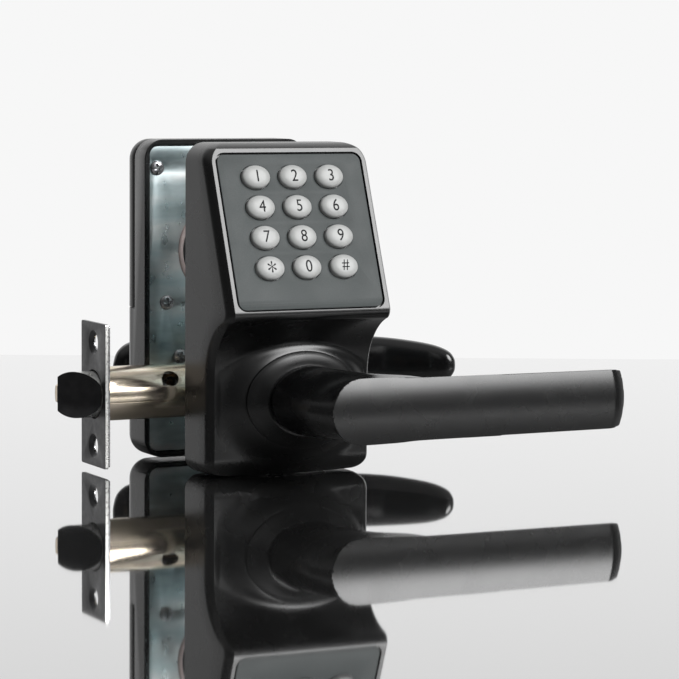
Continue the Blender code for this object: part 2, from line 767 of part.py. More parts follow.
def make_battery_tray():
    """The upper half's frame: an open box for the batteries, with posts for the plate's screws."""
    tray = prism("battery_tray", rounded(33.3, 31.5, 97.2, 1.0, 3.9, 3), "Y", TRAY_FLOOR - 1.2, 33.5)
    for i, (x, z) in enumerate(PLATE_SCREWS[:-2]):
        join(tray, screw_post(f"tray_post_{i}", x, z, TRAY_FLOOR, 3.0))
    inside = prism("tray_inside", rounded(31.9, 35.6, 92.0, 1.0, 4.6, 3), "Y", TRAY_FLOOR, 60)
    slot = block("tray_slot", (-4, 10, 30), (4, 60, 37))
    cut(tray, inside, slot)
    for i, (x, z) in enumerate(PLATE_SCREWS[:-2]):
        cut(tray, screw_bore(f"tray_bore_{i}", x, z))
    return paint(tray, "black_plastic")


def make_batteries():
    y = TRAY_FLOOR + GAP + BATTERY_RADIUS
    low, high = BATTERY_LOW_Z, BATTERY_LOW_Z + BATTERY_LENGTH
    shoulder = high - 1.2
    nub_radius = 2.7
    profile = [
        (0.0, low),
        (BATTERY_RADIUS, low),
        (BATTERY_RADIUS, shoulder),
        (nub_radius, shoulder),
        (nub_radius, high),
        (0.0, high),
    ]
    for i in range(4):
        x = (i - 1.5) * BATTERY_PITCH
        paint(turned(f"battery_{i + 1}", profile, "Z", center=(x, y), steps=20), "battery")


def make_mount_plate():
    outline = rounded(33.4, -27.1, 97.4, 3.8, 3.8, 3)
    plate = prism("inside_mount_plate", outline, "Y", MOUNT_PLATE_FACE, MOUNT_PLATE_FACE + MOUNT_PLATE_THICK)
    ahead, behind = MOUNT_PLATE_FACE - 3, MOUNT_PLATE_FACE + MOUNT_PLATE_THICK + 3
    places = [(0, 0, 9.0, 20), (0, CABLE_HOLE_Z, CABLE_HOLE_RADIUS, 36)]
    places += [(x, z, SCREW_HOLE_RADIUS, 12) for x, z in PLATE_SCREWS]
    places += [(0, z, 2.8, 12) for z in THROUGH_BOLT_Z]
    holes = [
        rod(f"plate_hole_{i}", (x, ahead, z), (x, behind, z), radius, segments=segments)
        for i, (x, z, radius, segments) in enumerate(places)
    ]
    return paint(cut(plate, *holes), "zinc")


def make_plate_screws():
    """Pan-head screws that hold the plate to the inside case."""
    seat = MOUNT_PLATE_FACE - 0.1
    tip = seat + 7.0
    profile = [
        (0.0, seat - 1.2),
        (SCREW_HEAD_RADIUS * 0.8, seat - 1.1),
        (SCREW_HEAD_RADIUS, seat),
        (SCREW_RADIUS, seat),
        (SCREW_RADIUS, tip),
        (0.0, tip),
    ]
    for i, (x, z) in enumerate(PLATE_SCREWS):
        screw = turned(f"plate_screw_{i + 1}", profile, "Y", center=(x, z), steps=14)
        slot = block(f"slot_{i}", (x - 1.8, seat - 3, z - 0.35), (x + 1.8, seat - 0.5, z + 0.35))
        cross = block(f"cross_{i}", (x - 0.35, seat - 3, z - 1.8), (x + 0.35, seat - 0.45, z + 1.8))
        paint(cut(screw, slot, cross), "steel")


def make_grommet():
    """A light ring that lines the cable hole."""
    outer = CABLE_HOLE_RADIUS - GAP
    near, far = MOUNT_PLATE_FACE - 0.4, MOUNT_PLATE_FACE + 2.4
    profile = [(outer, near), (outer, far), (outer - 1.7, far), (outer - 1.7, near)]
    ring = turned("cable_grommet", profile, "Y", center=(0.0, CABLE_HOLE_Z), closed=True, steps=36)
    return paint(ring, "grommet")


def make_through_bolts():
    """The two bolts through the door, their flat heads on the mounting plate."""
    tip = BACK - 8.0
    head = MOUNT_PLATE_FACE - 0.1
    under_head = head - 1.2
    profile = [(0.0, tip), (2.0, tip), (2.0, under_head), (3.9, under_head), (3.9, head), (0.0, head)]
    for i, z in enumerate(THROUGH_BOLT_Z):
        paint(turned(f"through_bolt_{i + 1}", profile, "Y", center=(0.0, z), steps=16), "steel")


def make_control_board():
    board = prism("control_board", rounded(30.0, -24.0, 30.0, 2.0, 2.0, 2), "Y", 25.0, 26.6)
    hole = rod("board_hole", (0, 10, 0), (0, 40, 0), 15.0, segments=24)
    post_holes = [
        rod(f"board_post_hole_{i}", (x, 10, z), (x, 40, z), 4.0, segments=12)
        for i, (x, z) in enumerate(PLATE_SCREWS[-2:])
    ]
    return paint(cut(board, hole, *post_holes), "circuit_board")


def make_harness():
    """The wires from the keypad to the inside board, through the cable hole."""
    curve = bpy.data.curves.new("cable_harness", "CURVE")
    curve.dimensions = "3D"
    curve.bevel_depth = 2.0 * MM
    curve.bevel_resolution = 2
    curve.use_fill_caps = True
    route = (
        (0.0, -27.0, 56.0),
        (0.0, -24.5, CABLE_HOLE_Z),
        (0.0, -10.0, CABLE_HOLE_Z),
        (0.0, 8.0, CABLE_HOLE_Z),
        (0.0, 14.0, 52.5),
        (0.0, 17.6, 47.0),
        (0.0, 20.8, 43.0),
    )
    spline = curve.splines.new("POLY")
    spline.points.add(len(route) - 1)
    for point, place in zip(spline.points, route):
        point.co = (*(Vector(place) * MM), 1.0)
    obj = bpy.data.objects.new("cable_harness", curve)
    LOCK.objects.link(obj)
    return paint(obj, "rubber")


def lever_station(x, y, heading, half_height, half_thick, squareness=2.6, steps=16):
    """A rounded section of the inside lever, square to its path."""
    turn = math.radians(heading)
    ring = []
    for i in range(steps):
        angle = 2 * math.pi * (i + 0.5) / steps
        across = abs(math.cos(angle)) ** (2 / squareness) * math.copysign(half_thick, math.cos(angle))
        up = abs(math.sin(angle)) ** (2 / squareness) * math.copysign(half_height, math.sin(angle))
        ring.append((x - across * math.sin(turn), y + across * math.cos(turn), up))
    return ring


def make_inside_lever():
    """A lever that sweeps back towards the door and narrows to a round tip."""
    stations = (
        (-26.0, 77.0, 0, 4.6, 2.2),
        (-23.4, 77.0, 0, 9.2, 4.4),
        (-18.0, 77.0, 0, 12.2, 6.0),
        (-8.0, 77.0, 0, 13.1, 6.5),
        (15.0, 77.2, 0, 13.1, 6.5),
        (42.0, 77.6, -1, 12.9, 6.5),
        (62.0, 76.6, -7, 12.7, 6.4),
        (80.0, 72.4, -20, 12.2, 6.2),
        (96.0, 64.6, -34, 11.4, 5.8),
        (106.2, 56.4, -43, 10.2, 5.4),
        (113.6, 49.2, -45, 8.6, 4.8),
        (118.2, 44.6, -45, 6.2, 3.8),
        (120.3, 42.6, -45, 2.9, 2.0),
    )
    lever = loft("inside_lever", [lever_station(*station) for station in stations])
    top = INSIDE_BACK + GAP
    neck_profile = [
        (0.0, 30.0),
        (SHANK_RADIUS, 30.0),
        (SHANK_RADIUS, top - 1.2),
        (INSIDE_NECK_RADIUS, top - 1.2),
        (INSIDE_NECK_RADIUS, 68.0),
        (11.6, 77.0),
        (0.0, 77.0),
    ]
    neck = turned("inside_neck", neck_profile, "Y")
    return paint(cut(join(lever, neck), square_hole("inside_socket", 20, 60)), "black_paint")


def make_spindle():
    near = (-SPINDLE_HALF, -34.0, -SPINDLE_HALF)
    far = (SPINDLE_HALF, 59.0, SPINDLE_HALF)
    return paint(block("spindle", near, far), "steel")


# ---------------------------------------------------------------- the whole lock

FRAME = keypad_frame()
paint(make_outside_housing(), "black_paint")
make_keypad_plate()
for key_name, key_x, key_y in key_places():
    make_key(key_name, key_x, key_y)
make_keypad_mat()
make_keypad_board()
make_outside_gasket()
make_outside_base_plate()
make_outside_collar()
make_outside_lever()
make_clutch()
make_latch_tube(make_latch_plates())
make_latch_case()
make_latch_bolt()
make_deadlatch()
make_latch_hub()
paint(coil("latch_spring", "X", -49.0, -18.7, 5.2, 0.6, 6), "steel")
retaining_ring("outside_retaining_ring", -42.3, -41.3)
paint(coil("outside_return_spring", "Y", -40.2, -36.6, 12.2, 0.7, 3), "steel")
make_mount_plate()
make_plate_screws()
make_grommet()
make_through_bolts()
make_control_board()
make_harness()
make_inside_housing()
make_battery_cover()
make_battery_tray()
make_batteries()
make_inside_collar()
retaining_ring("inside_retaining_ring", 37.6, 38.8)
paint(coil("inside_return_spring", "Y", 31.0, 36.4, 12.2, 0.7, 3), "steel")
make_spindle()
make_inside_lever()
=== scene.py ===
"""The finished look of the keypad lever lock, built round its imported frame.

Lengths are in millimetres until a mesh is made. +X runs along the levers, -Y is the outside of
the door and +Z is up, with the origin on the spindle's line at the middle of the door.
"""

import math

import bmesh
import bpy
import numpy as np
from mathutils import Euler, Matrix, Vector


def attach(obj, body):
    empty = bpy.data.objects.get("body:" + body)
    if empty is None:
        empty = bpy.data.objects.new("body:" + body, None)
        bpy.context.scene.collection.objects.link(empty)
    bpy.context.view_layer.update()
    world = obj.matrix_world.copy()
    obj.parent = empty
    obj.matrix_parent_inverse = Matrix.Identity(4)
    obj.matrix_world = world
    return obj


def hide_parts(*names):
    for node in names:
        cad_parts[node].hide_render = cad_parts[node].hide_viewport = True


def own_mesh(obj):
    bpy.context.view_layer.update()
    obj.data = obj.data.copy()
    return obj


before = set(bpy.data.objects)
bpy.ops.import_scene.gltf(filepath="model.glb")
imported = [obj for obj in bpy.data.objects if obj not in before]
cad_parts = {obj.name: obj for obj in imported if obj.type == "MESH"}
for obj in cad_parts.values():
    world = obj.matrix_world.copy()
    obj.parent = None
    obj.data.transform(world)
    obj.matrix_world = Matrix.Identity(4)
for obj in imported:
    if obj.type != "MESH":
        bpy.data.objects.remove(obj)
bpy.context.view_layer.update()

MM = 0.001
GAP = 0.3

# Outside unit
UNIT_HALF_WIDTH = 35.2
UNIT_BOTTOM = -30.0
UNIT_TOP = 100.0
TOP_CORNER = 8.0
BOTTOM_CORNER = 6.0
UNIT_BACK = -20.2
ROOM_BACK = -10.0
LOWER_FRONT = -44.0
FOOT_FILLET = 7.0
CHIN_ARC_RADIUS = 24.7
CHIN_ARC_Z = 8.5
CHIN_ROUND = 3.6
CHIN_LOW = 31.0
CHIN_HIGH = 37.0
SLOPE_LOW = Vector((0.0, -63.0, 36.3))
SLOPE_HIGH = Vector((0.0, -39.5, 96.43))
SLOPE = (SLOPE_HIGH.y - SLOPE_LOW.y) / (SLOPE_HIGH.z - SLOPE_LOW.z)
SLOPE_ANGLE = math.atan(SLOPE)
SLOPE_LENGTH = (SLOPE_HIGH - SLOPE_LOW).length
STRIP_WIDTH = 2.1
STRIP_DEPTH = 5.3
STRIP_TURN = 2 * math.atan(STRIP_WIDTH / STRIP_DEPTH)
STRIP_RADIUS = STRIP_DEPTH / math.sin(STRIP_TURN)
EDGE_ROUND = 0.45
EDGE_CREST = 0.02
END_EASE = 8.0
WALL = 2.6
BEARING_BORE = 14.3

# Keypad. Heights are from the slope's face.
PLATE_HALF_WIDTH = 31.4
PLATE_CORNER = 4.0
PLATE_BACK = -1.6
PLATE_FACE = -0.1
PLATE_EDGE = 0.22
POCKET_DEPTH = 1.9
WINDOW_INSET = 3.0
WINDOW_CORNER = 2.0
WINDOW_DEPTH = 7.0
GROOVE = 0.75
ROLL_LENGTH = 4.6
ROLL_DROP = 0.55
ROLL_STEPS = 6
KEY_A = 5.9
KEY_B = 4.7
KEY_COLUMN = 15.84
KEY_ROW = 12.34
KEY_FIRST_ROW = 10.4
KEY_STEM = (-4.8, 0.3)
KEY_FLANGE = (-2.9, -1.95, 0.9)
KEY_SHOULDER = 0.6
DOME_BASE = 0.75
DOME_RISE = 1.75
KEYS = ("1", "2", "3", "4", "5", "6", "7", "8", "9", "star", "0", "hash")
GLYPHS = {"star": "*", "hash": "#"}
GLYPH_SIZES = {"star": 10.5, "hash": 6.2}
GLYPH_SIZE = 6.9
GLYPH_NARROW = 0.86
GLYPH_PROUD = 0.07
GLYPH_THICK = 0.12

# Boss and collars. An oval is its centre's X, its half width and its half height.
BOSS_TOP = -49.5
BOSS_BASE_OVAL = (1.0, 33.0, 26.2)
BOSS_TOP_OVAL = (2.6, 25.9, 20.4)
BOSS_BLEND = 2.6
BOSS_EDGE = 0.7
BOSS_REACH = 46.0
COLLAR_HEIGHT = 4.2
COLLAR_BASE_OVAL = (2.6, 24.7, 19.2)
COLLAR_TOP_OVAL = (2.8, 18.0, 14.2)
BEARING_RADIUS = 13.9
BEARING_END = -42.8
INSIDE_COLLAR_RADIUS = 19.6
INSIDE_NECK = 12.6

# Outside lever. Each row of its neck is a Y, the left and right ends in X, and the half height.
# The swell over the neck is its rise, its X and its spread.
NECK_BASE = BOSS_TOP - GAP - COLLAR_HEIGHT - GAP
NECK_ROWS = (
    (-54.0, -14.1, 20.4, 13.7),
    (-58.0, -13.9, 21.4, 13.7),
    (-64.0, -13.7, 23.5, 13.6),
    (-73.0, -13.2, 28.0, 13.3),
    (-80.0, -12.9, 34.5, 13.0),
    (-84.0, -12.6, 43.0, 12.8),
    (-88.0, -11.9, 52.0, 12.6),
    (-100.0, -8.4, 46.0, 12.5),
)
SHANK = 10.2
LEVER_FACE = -98.0
LEVER_END = 121.6
LEVER_DEPTH = 12.4
LEVER_HALF_HEIGHT = 12.35
LEVER_TAPER = 0.0035
LEVER_SWELL = (0.95, 9.0, 14.0)
LEVER_CROWN = 1.95
LEVER_ROLL = 5.8
ROLL_SLOPE = 0.36
ROLL_BEND = 16.0
ROUND_END_X = 4.8
ROUND_END_REACH = 13.2
END_BULGE = 1.3
END_BULGE_FROM = 100.0

# Inside lever. Each station is an X, a Y, a heading in degrees, a half height and a half thickness.
INSIDE_STATIONS = (
    (-26.0, 77.0, 0, 0.6, 0.4),
    (-25.6, 77.0, 0, 3.9, 1.9),
    (-23.4, 77.0, 0, 8.9, 4.2),
    (-18.0, 77.0, 0, 12.2, 6.0),
    (-8.0, 77.0, 0, 13.1, 6.5),
    (15.0, 77.2, 0, 13.1, 6.5),
    (42.0, 77.6, -1, 12.9, 6.5),
    (62.0, 76.6, -7, 12.7, 6.4),
    (80.0, 72.4, -20, 12.2, 6.2),
    (96.0, 64.6, -34, 11.4, 5.8),
    (106.2, 56.4, -43, 10.2, 5.4),
    (113.6, 49.2, -45, 8.6, 4.8),
    (118.2, 44.6, -45, 6.2, 3.8),
    (120.2, 42.7, -45, 3.1, 2.0),
    (120.6, 42.3, -45, 0.5, 0.4),
)
SPINDLE_HOLE = 3.8

# Latch
LATCH_FACE = -66.0
BOLT_RADIUS = 9.2
BOLT_THROW = 12.7
BOLT_INSIDE = 14.0
BOLT_SLOPE_Y = (-8.3, 6.2)
BOLT_SLOPE_BOW = 0.55
TUBE_RADIUS = 10.8
TUBE_WALL = 1.1
TUBE_END = -18.0
FACEPLATE_THICK = 1.4
FACEPLATE_HALF = (12.7, 28.6)
FACE_SCREW_Z = (20.65, -20.65)
BACK_PLATE_THICK = 0.6
SPRING_START = -49.0
SPRING_END = -18.7
SPRING_RADIUS = 5.2
SPRING_WIRE = 0.6
SPRING_TURNS = 6

# Inside unit
INSIDE_HALF_WIDTH = 36.0
INSIDE_BOTTOM = -29.7
INSIDE_TOP = 100.0
INSIDE_FRONT = 19.0
INSIDE_BACK = 44.0
INSIDE_ROUND = 11.0
INSIDE_WALL = 2.3
COVER_Y = 30.0
COVER_Z = 31.0
PLATE_FRONT = 20.4
PLATE_THICK = 1.5
CABLE_HOLE_Z = 54.6
CABLE_HOLE_RADIUS = 20.5
PLATE_SCREWS = ((-30.1, 88.5), (30.1, 88.5), (-25.8, 33.7), (25.8, 33.7), (-19.8, 11.5), (19.8, 11.5))
SCREW_RADIUS = 3.0
THROUGH_BOLT_Z = (86.0, -19.5)
RING_PITCH = 4.8

# Table and camera
FLOOR_Z = -30.6
TABLE_REACH = 1500.0
TABLE_NEAR = -1600.0
TABLE_FAR = 430.0
CAMERA_PLACE = Vector((-493.12, -1070.06, 130.41))
CAMERA_YAW = math.radians(26.608)
CAMERA_PITCH = math.radians(-5.374)
CAMERA_ROLL = math.radians(0.4)
CAMERA_LENS = 154.61

# Each soft light of the studio: its azimuth and elevation, the angle from its middle within which
# it is even, the angle at which it has faded out, and its brightness.
STUDIO = (
    (63.4, 4.0, 30.0, 72.0, 0.93),
    (-60.0, 33.0, 10.0, 24.0, 13.6),
    (-63.0, 4.0, 20.0, 60.0, 0.12),
    (180.0, 10.0, 10.0, 70.0, 0.10),
    (90.0, 88.0, 5.0, 75.0, 0.6),
)


# ---------------------------------------------------------------- materials


class Finish:
    """A Principled material and short ways to add texture nodes to it.

    A grain is a size in millimetres and a level of detail, and a stretch scales it along each axis.
    """

    def __init__(self, name, metallic=0.0):
        self.material = bpy.data.materials.new(name)
        self.material.use_nodes = True
        self.nodes = self.material.node_tree.nodes
        self.links = self.material.node_tree.links
        self.shader = self.nodes["Principled BSDF"]
        self.place = self.nodes.new("ShaderNodeTexCoord").outputs["Object"]
        self.relief_so_far = None
        self.fix("Metallic", metallic)

    def fix(self, socket, value):
        self.shader.inputs[socket].default_value = value

    def noise(self, grain, stretch=None):
        size_mm, detail = grain
        texture = self.nodes.new("ShaderNodeTexNoise")
        texture.inputs["Scale"].default_value = 1.0 / (size_mm * MM)
        texture.inputs["Detail"].default_value = detail
        place = self.place
        if stretch:
            mapping = self.nodes.new("ShaderNodeMapping")
            mapping.inputs["Scale"].default_value = stretch
            self.links.new(place, mapping.inputs["Vector"])
            place = mapping.outputs["Vector"]
        self.links.new(place, texture.inputs["Vector"])
        return texture.outputs["Fac"]

    def spots(self, size_mm):
        texture = self.nodes.new("ShaderNodeTexVoronoi")
        texture.inputs["Scale"].default_value = 1.0 / (size_mm * MM)
        self.links.new(self.place, texture.inputs["Vector"])
        return texture.outputs["Distance"]

    def remap(self, value, low, high, source=(0.3, 0.7)):
        node = self.nodes.new("ShaderNodeMapRange")
        node.inputs["From Min"].default_value = source[0]
        node.inputs["From Max"].default_value = source[1]
        node.inputs["To Min"].default_value = low
        node.inputs["To Max"].default_value = high
        self.links.new(value, node.inputs["Value"])
        return node.outputs["Result"]

    def color_from(self, value, stops):
        ramp = self.nodes.new("ShaderNodeValToRGB")
        elements = ramp.color_ramp.elements
        while len(elements) < len(stops):
            elements.new(0.5)
        for element, (place, color) in zip(elements, stops):
            element.position = place
            element.color = (*color, 1.0)
        self.links.new(value, ramp.inputs["Fac"])
        self.links.new(ramp.outputs["Color"], self.shader.inputs["Base Color"])

    def tones(self, dark, light, grain, spread=(0.3, 0.7)):
        """Patches of colour between two tones."""
        self.color_from(self.noise(grain), ((spread[0], dark), (spread[1], light)))

    def sheen(self, low, high, grain, stretch=None):
        """Patches of roughness between two values."""
        result = self.remap(self.noise(grain, stretch), low, high)
        self.links.new(result, self.shader.inputs["Roughness"])

    def bump(self, value, height_um):
        node = self.nodes.new("ShaderNodeBump")
        node.inputs["Strength"].default_value = 1.0
        node.inputs["Distance"].default_value = height_um * 1e-6
        self.links.new(value, node.inputs["Height"])
        if self.relief_so_far is not None:
            self.links.new(self.relief_so_far, node.inputs["Normal"])
        self.relief_so_far = node.outputs["Normal"]
        self.links.new(self.relief_so_far, self.shader.inputs["Normal"])

    def relief(self, height_um, grain, stretch=None):
        """Noise of a height in micrometres, over any relief made before."""
        self.bump(self.noise(grain, stretch), height_um)


def black_paint():
    """Satin black powder coat: a fine orange peel and slow changes of sheen."""
    finish = Finish("black_paint")
    finish.sheen(0.25, 0.29, (14.0, 3.0))
    finish.tones((0.0028, 0.0029, 0.003), (0.0038, 0.0039, 0.004), (6.0, 4.0))
    finish.relief(0.35, (0.55, 2.0))
    finish.relief(1.2, (2.6, 1.0))
    return finish.material


def gloss_black():
    finish = Finish("gloss_black")
    finish.sheen(0.13, 0.2, (10.0, 3.0))
    finish.tones((0.0028, 0.0028, 0.003), (0.0036, 0.0036, 0.0038), (5.0, 3.0))
    finish.relief(1.5, (1.2, 2.0))
    return finish.material


def keypad_grey():
    """Matt grey plastic with a fine spark texture."""
    finish = Finish("keypad_grey")
    finish.fix("Specular IOR Level", 0.2)
    finish.tones((0.042, 0.049, 0.049), (0.050, 0.057, 0.057), (0.5, 2.0))
    finish.sheen(0.46, 0.54, (9.0, 3.0))
    finish.relief(4.0, (0.35, 2.0))
    return finish.material


def key_white():
    finish = Finish("key_white")
    finish.fix("Specular IOR Level", 0.3)
    finish.fix("Coat Weight", 0.06)
    finish.fix("Coat Roughness", 0.12)
    finish.tones((0.305, 0.31, 0.305), (0.335, 0.34, 0.335), (3.0, 3.0))
    finish.sheen(0.33, 0.4, (1.5, 2.0))
    finish.relief(1.2, (0.5, 2.0))
    return finish.material


def key_ink():
    finish = Finish("key_ink")
    finish.fix("Specular IOR Level", 0.08)
    finish.fix("Roughness", 0.6)
    finish.tones((0.008, 0.008, 0.009), (0.013, 0.013, 0.014), (0.4, 2.0))
    return finish.material


def zinc():
    """Zinc plating: cloudy, from blue-grey to near white, with faint rolling lines."""
    finish = Finish("zinc", 1.0)
    clouds = finish.noise((24.0, 4.0), (0.5, 1.0, 1.6))
    finish.color_from(
        clouds, ((0.36, (0.26, 0.31, 0.32)), (0.5, (0.50, 0.57, 0.58)), (0.64, (0.72, 0.72, 0.71)))
    )
    finish.sheen(0.24, 0.4, (7.0, 5.0))
    finish.relief(0.8, (1.6, 2.0))
    finish.relief(0.3, (0.5, 2.0), (1.0, 1.0, 0.04))
    return finish.material


def champagne_nickel():
    """Warm nickel plate over a drawn tube, with faint drawing lines along X."""
    finish = Finish("champagne_nickel", 1.0)
    finish.tones((0.70, 0.62, 0.47), (0.78, 0.67, 0.56), (9.0, 3.0), (0.35, 0.65))
    finish.sheen(0.15, 0.26, (1.2, 4.0), (0.15, 1.0, 1.0))
    finish.relief(1.4, (0.3, 3.0), (0.05, 1.0, 1.0))
    return finish.material


def dark_nickel():
    """Nickel painted dark, a painted shade for the bolt's bevel and ends: a dark mirror with a slight haze.
    """
    finish = Finish("dark_nickel", 1.0)
    finish.tones((0.06, 0.06, 0.062), (0.085, 0.085, 0.087), (5.0, 3.0), (0.35, 0.65))
    finish.sheen(0.15, 0.24, (2.0, 4.0))
    finish.relief(0.8, (0.4, 3.0))
    return finish.material


def faceplate_metal():
    """Dark grey plated steel, brushed along its length, with small scuffs."""
    finish = Finish("faceplate_metal", 1.0)
    scuffs = finish.noise((3.5, 5.0))
    finish.color_from(
        scuffs, ((0.32, (0.075, 0.075, 0.078)), (0.55, (0.09, 0.09, 0.093)), (0.75, (0.12, 0.12, 0.123)))
    )
    finish.sheen(0.28, 0.38, (1.6, 4.0))
    finish.relief(2.0, (0.22, 3.0), (1.0, 1.0, 0.06))
    return finish.material


# A near-white metal that paints a highlight on the faceplate's long edges and on the bolt's round side.
def painted_highlight_metal():
    finish = Finish("painted_highlight_metal", 1.0)
    finish.sheen(0.24, 0.38, (1.0, 4.0))
    finish.tones((0.78, 0.78, 0.76), (0.86, 0.86, 0.84), (3.0, 3.0))
    finish.relief(1.5, (0.3, 2.0))
    return finish.material


def turned_steel():
    finish = Finish("turned_steel", 1.0)
    finish.tones((0.34, 0.34, 0.35), (0.42, 0.42, 0.43), (4.0, 3.0))
    finish.sheen(0.22, 0.36, (1.0, 4.0))
    finish.relief(1.5, (0.2, 3.0))
    return finish.material


def threaded_steel():
    """Turned steel with shallow rings along Y."""
    finish = Finish("threaded_steel", 1.0)
    wave = finish.nodes.new("ShaderNodeTexWave")
    wave.bands_direction = "Y"
    bands_per_scale = 20.0
    wave.inputs["Scale"].default_value = 2 * math.pi / (bands_per_scale * RING_PITCH * MM)
    finish.links.new(finish.place, wave.inputs["Vector"])
    finish.bump(wave.outputs["Fac"], 160.0)
    finish.sheen(0.24, 0.38, (1.0, 4.0))
    finish.tones((0.46, 0.45, 0.44), (0.58, 0.57, 0.56), (2.0, 3.0))
    return finish.material


def rubber():
    finish = Finish("rubber")
    finish.tones((0.016, 0.016, 0.017), (0.026, 0.026, 0.027), (1.0, 4.0))
    finish.sheen(0.68, 0.84, (3.0, 3.0))
    finish.relief(6.0, (0.3, 3.0))
    return finish.material


def pale_gasket():
    finish = Finish("pale_gasket")
    finish.fix("Subsurface Weight", 0.1)
    finish.tones((0.70, 0.70, 0.69), (0.80, 0.80, 0.79), (1.5, 4.0))
    finish.sheen(0.45, 0.6, (2.0, 3.0))
    finish.relief(5.0, (0.4, 3.0))
    return finish.material


def circuit_board():
    """Green solder mask over copper tracks."""
    finish = Finish("circuit_board")
    tracks = finish.spots(2.4)
    finish.color_from(
        tracks, ((0.2, (0.012, 0.11, 0.045)), (0.42, (0.008, 0.07, 0.028)), (0.6, (0.02, 0.16, 0.07)))
    )
    finish.sheen(0.28, 0.42, (2.0, 3.0))
    finish.bump(tracks, 12.0)
    return finish.material


def black_plastic():
    finish = Finish("black_plastic")
    finish.tones((0.015, 0.015, 0.016), (0.022, 0.022, 0.023), (2.0, 3.0))
    finish.sheen(0.45, 0.58, (5.0, 3.0))
    finish.bump(finish.spots(0.5), 5.0)
    return finish.material


def grommet_plastic():
    finish = Finish("grommet_plastic")
    finish.tones((0.74, 0.60, 0.58), (0.84, 0.72, 0.70), (2.5, 3.0))
    finish.sheen(0.45, 0.58, (2.0, 3.0))
    finish.relief(3.0, (0.4, 3.0))
    return finish.material


def battery_sleeve():
    """A shrink sleeve: a steel foot, a dark body and a copper shoulder, by height."""
    finish = Finish("battery_sleeve")
    split = finish.nodes.new("ShaderNodeSeparateXYZ")
    finish.links.new(finish.place, split.inputs["Vector"])
    foot, shoulder = 0.036, 0.0895
    height = finish.remap(split.outputs["Z"], 0.0, 1.0, (foot, shoulder))
    steel, copper = (0.5, 0.5, 0.5), (0.5, 0.24, 0.09)
    finish.color_from(
        height, ((0.0, steel), (0.03, (0.03, 0.03, 0.033)), (0.7, (0.035, 0.035, 0.038)), (0.72, copper))
    )
    finish.sheen(0.24, 0.36, (2.0, 3.0))
    finish.relief(2.0, (1.4, 2.0))
    return finish.material


def floor_material():
    """A pale glossy table top: clear as a mirror at a low angle and matt white from above."""
    finish = Finish("pale_floor")
    finish.fix("Roughness", 0.6)
    finish.tones((0.195, 0.195, 0.195), (0.205, 0.205, 0.205), (120.0, 3.0))
    gloss = finish.nodes.new("ShaderNodeBsdfGlossy")
    gloss.inputs["Roughness"].default_value = 0.03
    facing = finish.nodes.new("ShaderNodeLayerWeight").outputs["Facing"]
    finish.links.new(finish.remap(facing, 0.72, 1.0, (0.78, 0.93)), gloss.inputs["Color"])
    mix = finish.nodes.new("ShaderNodeMixShader")
    finish.links.new(finish.remap(facing, 0.004, 0.98, (0.70, 0.785)), mix.inputs["Fac"])
    finish.links.new(finish.shader.outputs["BSDF"], mix.inputs[1])
    finish.links.new(gloss.outputs["BSDF"], mix.inputs[2])
    finish.links.new(mix.outputs["Shader"], finish.nodes["Material Output"].inputs["Surface"])
    return finish.material


BLACK = black_paint()
GLOSS = gloss_black()
GREY = keypad_grey()
WHITE = key_white()
INK = key_ink()
ZINC = zinc()
CHAMPAGNE = champagne_nickel()
PAINTED_SHADE_NICKEL = dark_nickel()
FACE_METAL = faceplate_metal()
PAINTED_HIGHLIGHT = painted_highlight_metal()
STEEL = turned_steel()
THREAD = threaded_steel()
RUBBER = rubber()
GASKET = pale_gasket()
BOARD = circuit_board()
PLASTIC = black_plastic()
GROMMET = grommet_plastic()
BATTERY = battery_sleeve()


# ---------------------------------------------------------------- mesh helpers


def link(obj):
    bpy.context.scene.collection.objects.link(obj)
    return obj


def mesh_object(name, points, faces):
    mesh = bpy.data.meshes.new(name)
    mesh.from_pydata([tuple(p) for p in np.asarray(points, dtype=float) * MM], [], faces)
    obj = link(bpy.data.objects.new(name, mesh))
    face_out(obj)
    return obj


def face_out(obj):
    """Welds points that meet and turns every face outwards."""
    shape = bmesh.new()
    shape.from_mesh(obj.data)
    bmesh.ops.remove_doubles(shape, verts=shape.verts, dist=1e-7)
    bmesh.ops.recalc_face_normals(shape, faces=shape.faces)
    shape.to_mesh(obj.data)
    shape.free()


def skin(name, rings, caps=True):
    """Quads over rings of points, each ring closed, with a flat cap at each end."""
    rows = np.asarray(rings, dtype=float)
    count, size = rows.shape[:2]
    faces = []
    for row in range(count - 1):
        for i in range(size):
            j = (i + 1) % size
            a = row * size
            b = a + size
            faces.append((a + i, a + j, b + j, b + i))
    if caps:
        faces.append(tuple(range(size)))
        faces.append(tuple(range((count - 1) * size, count * size)))
    return mesh_object(name, rows.reshape(-1, 3), faces)


def spin(name, profile, axis="Y", center=(0.0, 0.0), steps=96):
    """A closed loop of (radius, distance) turned about an axis. A radius of 0 is a pole."""
    index = "XYZ".index(axis)
    others = [i for i in range(3) if i != index]
    rings = []
    for radius, distance in profile:
        ring = np.zeros((steps, 3))
        angle = np.arange(steps) * 2 * math.pi / steps
        ring[:, others[0]] = center[0] + radius * np.cos(angle)
        ring[:, others[1]] = center[1] + radius * np.sin(angle)
        ring[:, index] = distance
        rings.append(ring)
    poles = profile[0][0] == 0 and profile[-1][0] == 0
    if not poles:
        rings.append(rings[0])
    return skin(name, rings, caps=False)


def arc(center, radius, start, end, steps):
    angles = np.radians(np.linspace(start, end, steps + 1))
    return [(center[0] + radius * math.cos(a), center[1] + radius * math.sin(a)) for a in angles]


def rounded(half_width, low, high, low_radius, high_radius, steps=10):
    """A rectangle about the middle in its width, with its own radius low down and high up."""
    points = []
    corners = (
        (half_width - low_radius, low + low_radius, low_radius, -90),
        (half_width - high_radius, high - high_radius, high_radius, 0),
        (-half_width + high_radius, high - high_radius, high_radius, 90),
        (-half_width + low_radius, low + low_radius, low_radius, 180),
    )
    for a, b, radius, angle in corners:
        points += arc((a, b), radius, angle, angle + 90, steps)
    return points


